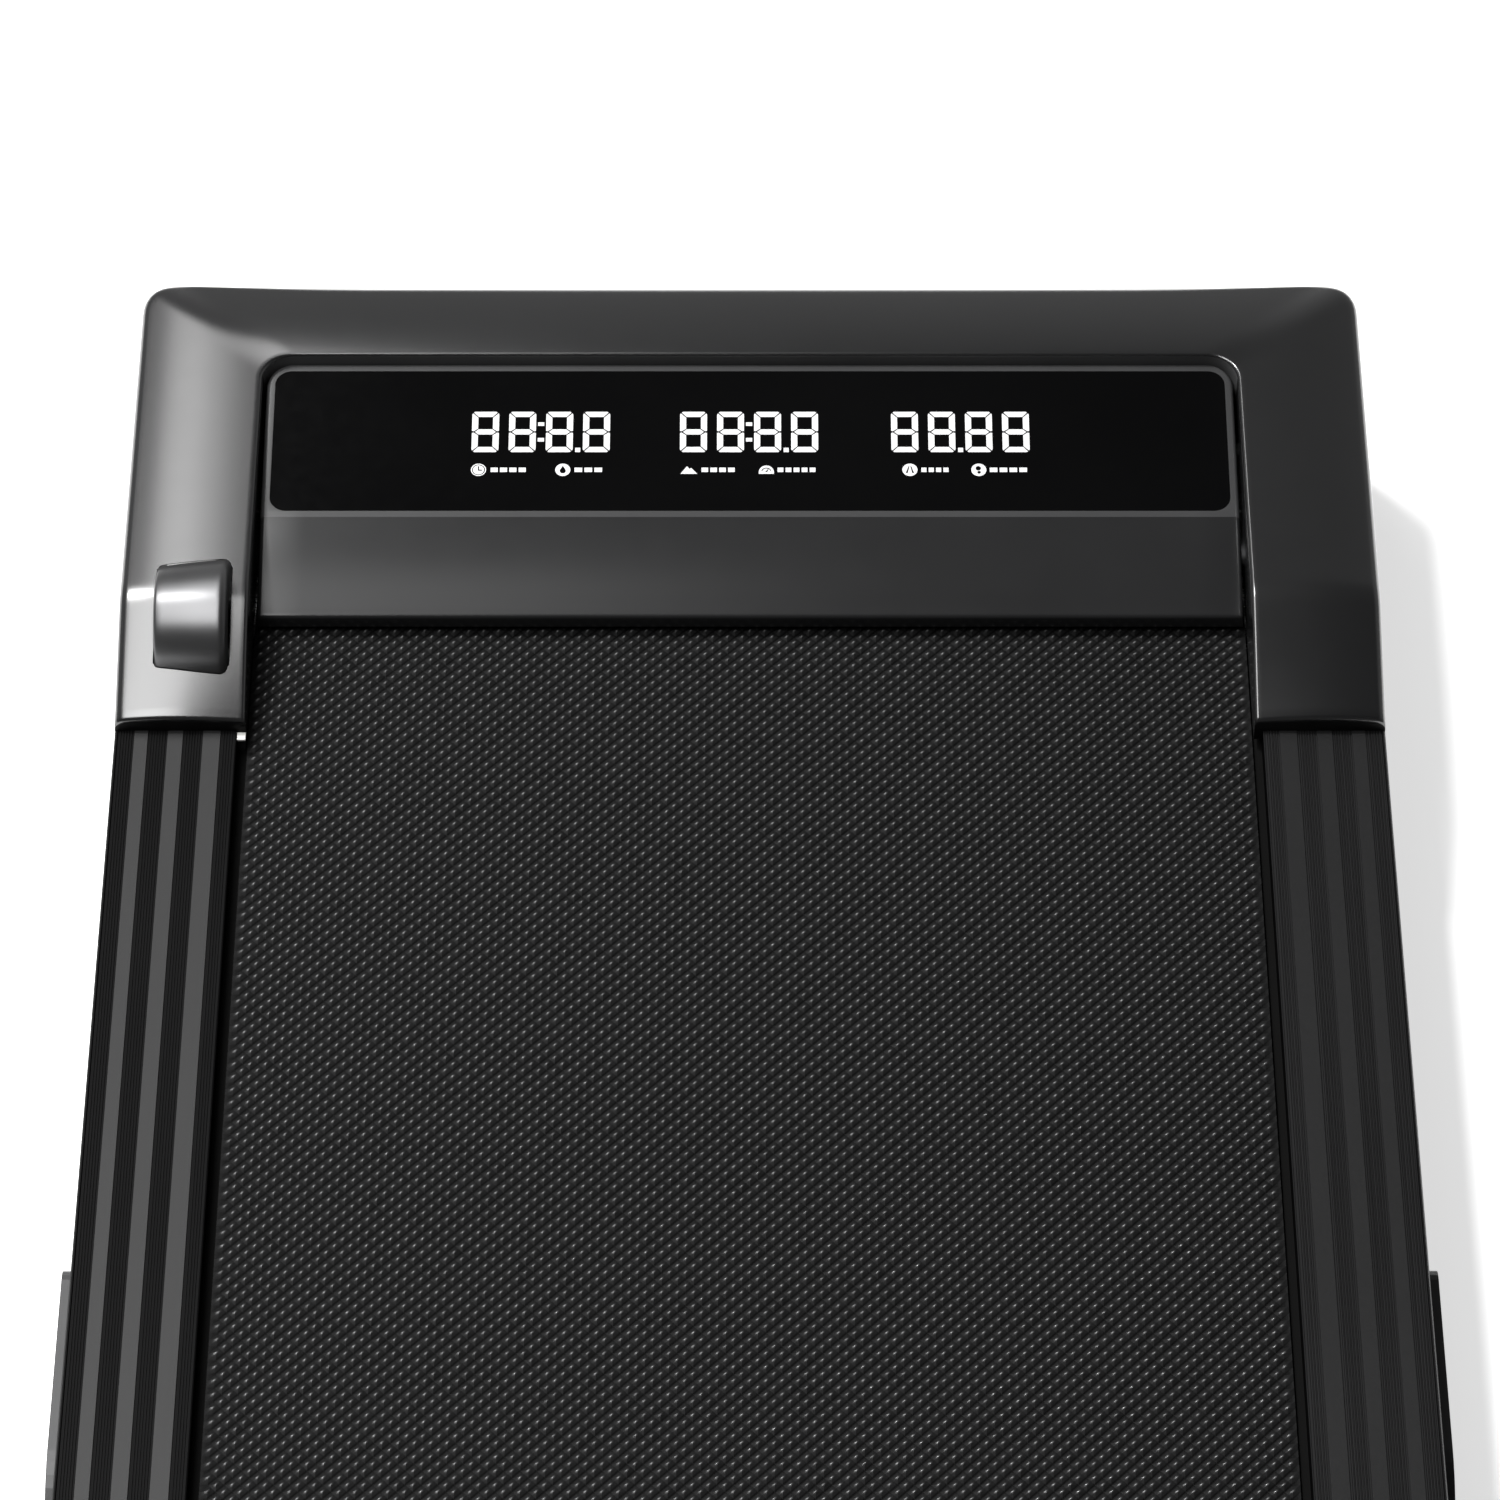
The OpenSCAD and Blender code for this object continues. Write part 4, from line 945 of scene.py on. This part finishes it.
for xa, xb, nb in ((-111.5, -95.5, 4), (-75.6, -62.8, 3), (-21.2, -6.0, 4), (11.4, 28.6, 5), (73.0, 85.6, 4), (102.3, 119.2, 4)):
    wb = (xb - xa) / nb
    for k in range(nb):
        marks.append(bar(xa + wb * k + 0.4, LY - 1.15, wb - 0.95, 2.3))
darks_o = flat_poly(darks, "display_marks_dark", 0.12, 0.04)
darks_o.data.materials.clear()
darks_o.data.materials.append(M["lens"])
marks_o = flat_poly(marks, "display_marks")


# ------------------------------------------------------------------ running belt, with its raised diamonds
PITCH = 6.3
B_ZC = (belt_lo[2] + belt_hi[2]) / 2
B_R = (belt_hi[2] - belt_lo[2]) / 2
B_YF, B_YR = belt_hi[1] - B_R, belt_lo[1] + B_R
B_RUN = B_YF - B_YR
B_TOTAL = 2 * B_RUN + 2 * math.pi * B_R


def belt_at(s, off):
    """Point of the loop at arc length s from the rear roller's top, pushed out by off."""
    s = s % B_TOTAL
    if s < B_RUN:
        return B_YR + s, B_ZC + B_R + off
    s -= B_RUN
    if s < math.pi * B_R:
        a = math.pi / 2 - s / B_R
        return B_YF + (B_R + off) * math.cos(a), B_ZC + (B_R + off) * math.sin(a)
    s -= math.pi * B_R
    if s < B_RUN:
        return B_YF - s, B_ZC - B_R - off
    s -= B_RUN
    a = -math.pi / 2 - s / B_R
    return B_YR + (B_R + off) * math.cos(a), B_ZC + (B_R + off) * math.sin(a)


def make_belt(name, i0, i1, n, fine):
    """Closed half of the loop from step i0 to i1 of n. Rows of beads run on one diagonal, with a groove between rows."""
    ds = B_TOTAL / n
    nx = int(round(2 * BW / (PITCH / 2) / 2)) * 2
    xs = np.linspace(-BW, BW, nx + 1)
    W = nx + 1
    hi_, lo_, mid_ = 0.42, -0.42, -0.04
    verts, att, faces, mats = [], [], [], []
    for i in range(i0, i1 + 1):
        for j in range(W):
            up = (i + j) % 2 == 0
            edge = j in (0, nx)
            y, z = belt_at(i * ds, -0.25 if edge else (hi_ if up else lo_))
            verts.append((xs[j], y, z))
            att.append(0.3 if edge else (1.0 if up else 0.0))
    for i in range(i1 - i0):
        for j in range(nx):
            a, b, c, d = i * W + j, i * W + j + 1, (i + 1) * W + j + 1, (i + 1) * W + j
            if (i + i0 + j) % 2 == 0 and fine and 0 < j < nx - 1:
                y, z = belt_at((i + i0 + 0.5) * ds, mid_)
                verts.append(((xs[j] + xs[j + 1]) / 2, y, z))
                att.append(0.55)
                m = len(verts) - 1
                faces += [(a, b, m), (b, c, m), (c, d, m), (d, a, m)]
                mats += [0] * 4
            else:
                faces += [(a, b, c), (a, c, d)]
                mats += [0, 0]
    m = 330
    inner = []
    for k in range(m + 1):
        y, z = belt_at((i0 + (i1 - i0) * k / m) * ds, -2.0)
        verts += [(-BW, y, z), (BW, y, z)]
        att += [0.2, 0.2]
        inner.append((len(verts) - 2, len(verts) - 1))
    for k in range(m):
        a, b = inner[k], inner[k + 1]
        faces += [(a[0], b[0], b[1]), (a[0], b[1], a[1])]
        mats += [1, 1]
    for side, j in ((0, 0), (1, nx)):
        i = 0
        for k in range(m):
            to = int(round((i1 - i0) * (k + 1) / m))
            while i < to:
                faces.append((inner[k][side], i * W + j, (i + 1) * W + j))
                mats.append(1)
                i += 1
            faces.append((inner[k][side], i * W + j, inner[k + 1][side]))
            mats.append(1)
    for row, pair in ((0, inner[0]), (i1 - i0, inner[m])):
        for j in range(nx):
            faces.append((pair[0] if j < nx // 2 else pair[1], row * W + j, row * W + j + 1))
            mats.append(1)
        faces.append((pair[0], row * W + nx // 2, pair[1]))
        mats.append(1)
    me = bpy.data.meshes.new(name)
    me.from_pydata((np.array(verts) * MM).tolist(), [], faces)
    me.materials.append(M["belt"])
    me.materials.append(M["belt_in"])
    me.polygons.foreach_set("material_index", mats)
    me.attributes.new("belt_h", "FLOAT", "POINT").data.foreach_set("value", att)
    me.update()
    bm = bmesh.new()
    bm.from_mesh(me)
    bmesh.ops.recalc_face_normals(bm, faces=bm.faces)
    bm.to_mesh(me)
    bm.free()
    o = bpy.data.objects.new(name, me)
    scene.collection.objects.link(o)
    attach(o, "chassis")
    return o


b_n = int(round(B_TOTAL / (PITCH / 2) / 2)) * 2
b_q = int(round(math.pi * B_R / 2 / (B_TOTAL / b_n)))
b_h = int(round((B_RUN + math.pi * B_R / 2) / (B_TOTAL / b_n)))
belt_o = make_belt("belt_upper_run", -b_q, b_h, b_n, True)
belt_u = make_belt("belt_lower_run", b_h, b_n - b_q, b_n, False)
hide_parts("running_belt")

# ------------------------------------------------------------------ thumb wheel: a smooth barrel with a broad rounding at its inner end
def make_wheel():
    w = whl_hi[0] - whl_lo[0]
    prof = [(3.05, 0.9), (6.0, 0.9), (6.6, 0.3), (7.2, 0.0)] + wheel_profile() + [(whl_hi[2] - wc[2] - 7.5, w - 0.05), (whl_hi[2] - wc[2] - 8.2, w - 0.8), (9.0, w - 1.0), (8.2, w - 0.3), (3.05, w - 0.3)]
    return fix_normals(lathe("thumb_wheel", prof, [M["wheel"]]), 40)


wheel_o = make_wheel()
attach(wheel_o, "speed_wheel")
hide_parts("speed_wheel")

# ------------------------------------------------------------------ belt guide: a thin white pad on a dark leg; the leg's black is painted shade
g_lo, g_hi = bx("belt_guide")
pad = box_obj("guide_pad", (g_lo[0], g_hi[1] - 4.0, g_hi[2] - 1.2), (g_hi[0] + 0.5, g_hi[1], g_hi[2]), 0.3)
# painted shade: the guide's lower block is in black plastic, so only the pad on top stays white
leg = box_obj("guide_leg_painted_shade", (g_lo[0], g_hi[1] - 2.4, g_lo[2]), (g_hi[0], g_hi[1], g_hi[2] - 1.1), 0.3)
pad.data.materials.append(M["white"])
leg.data.materials.append(M["black"])
for g_o, g_s in ((pad, "white_plastic"), (leg, "black_plastic")):
    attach(g_o, "chassis")
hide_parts("belt_guide")

# ------------------------------------------------------------------ floor, backdrop and light
floor = box_obj("studio_floor", (-6000, -5000, -20), (6000, 9000, 0))
fm, fnt, fb = new_mat("floor_pale")
fv = tex_coord(fnt)
fn = noise(fnt, fv, 3.0, 2)
fnt.links.new(ramp(fnt, fn, [(0.0, (0.90, 0.90, 0.90)), (1.0, (0.92, 0.92, 0.92))]), fb.inputs["Base Color"])
fb.inputs["Roughness"].default_value = 0.9
fb.inputs["Specular IOR Level"].default_value = 0.0
fb.inputs["Emission Color"].default_value = (1, 1, 1, 1)
fb.inputs["Emission Strength"].default_value = 0.62
floor.data.materials.append(fm)

w = bpy.data.worlds.new("studio")
scene.world = w
w.use_nodes = True
wn = w.node_tree
wn.nodes.clear()
wo = wn.nodes.new("ShaderNodeOutputWorld")
bg = wn.nodes.new("ShaderNodeBackground")
wn.links.new(bg.outputs[0], wo.inputs[0])
tc = wn.nodes.new("ShaderNodeTexCoord")
sx = wn.nodes.new("ShaderNodeSeparateXYZ")
wn.links.new(tc.outputs["Generated"], sx.inputs[0])
cr = wn.nodes.new("ShaderNodeValToRGB")
el = cr.color_ramp.elements
el[0].position, el[0].color = 0.0, (1, 1, 1, 1)
el[1].position, el[1].color = 1.0, (0.16, 0.16, 0.16, 1)
for p, c in ((0.40, 0.95), (0.60, 0.76), (0.74, 0.34), (0.85, 0.20)):
    e = el.new(p)
    e.color = (c, c, c, 1)
wn.links.new(sx.outputs["Z"], cr.inputs[0])
back = wn.nodes.new("ShaderNodeMapRange")
back.inputs["From Min"].default_value = -0.45
back.inputs["From Max"].default_value = 0.15
back.inputs["To Min"].default_value = 0.30
back.inputs["To Max"].default_value = 1.0
wn.links.new(sx.outputs["Y"], back.inputs["Value"])
wm = wn.nodes.new("ShaderNodeMix")
wm.data_type = "RGBA"
wm.blend_type = "MULTIPLY"
wm.inputs[0].default_value = 1.0
wn.links.new(cr.outputs[0], wm.inputs[6])
wn.links.new(back.outputs["Result"], wm.inputs[7])
wn.links.new(wm.outputs[2], bg.inputs[0])
bg.inputs[1].default_value = 0.375


def area(name, loc, target, sx_, sy_, power):
    d = bpy.data.lights.new(name, "AREA")
    d.shape = "RECTANGLE"
    d.size = sx_
    d.size_y = sy_
    d.energy = power
    o = bpy.data.objects.new(name, d)
    scene.collection.objects.link(o)
    o.location = loc
    o.rotation_euler = (Vector(target) - Vector(loc)).to_track_quat("-Z", "Y").to_euler()
    return o


sun_d = bpy.data.lights.new("key", "SUN")
sun_d.energy = 1.7
sun_d.angle = math.radians(6)
sun = bpy.data.objects.new("key", sun_d)
scene.collection.objects.link(sun)
sun.rotation_euler = Vector((1.0, -1.0, -2.54)).to_track_quat("-Z", "Y").to_euler()
wide_d = bpy.data.lights.new("key_soft", "SUN")
wide_d.energy = 2.2
wide_d.angle = math.radians(20)
wide = bpy.data.objects.new("key_soft", wide_d)
scene.collection.objects.link(wide)
wide.rotation_euler = Vector((1.7, -1.0, -2.1)).to_track_quat("-Z", "Y").to_euler()
wide.visible_glossy = False
# soft box over the left side, seen in the left wing, its slope and the thumb wheel
def softbox(name, x0, x1, y0, y1, radiance, z=1.75):
    """Downward panel between two X and two Y values, in metres, with a given radiance."""
    cx, cy = (x0 + x1) / 2, (y0 + y1) / 2
    return area(name, (cx, cy, z), (cx, cy, 0), abs(x1 - x0), abs(y1 - y0), radiance * math.pi * abs(x1 - x0) * abs(y1 - y0))


softbox("softbox_a", -0.95, -0.33, 0.45, 0.82, 7.0)
softbox("softbox_e", -0.95, -0.33, -0.60, 0.45, 10.0)
softbox("softbox_d", -0.33, -0.06, 0.50, 0.78, 3.4)
softbox("softbox_b", -0.82, -0.39, 0.90, 2.25, 5.6)
softbox("softbox_c", -1.50, -0.95, -0.60, 2.25, 0.65)

scene.view_settings.view_transform = "Standard"
scene.view_settings.look = "None"
scene.view_settings.exposure = 0
scene.view_settings.gamma = 1
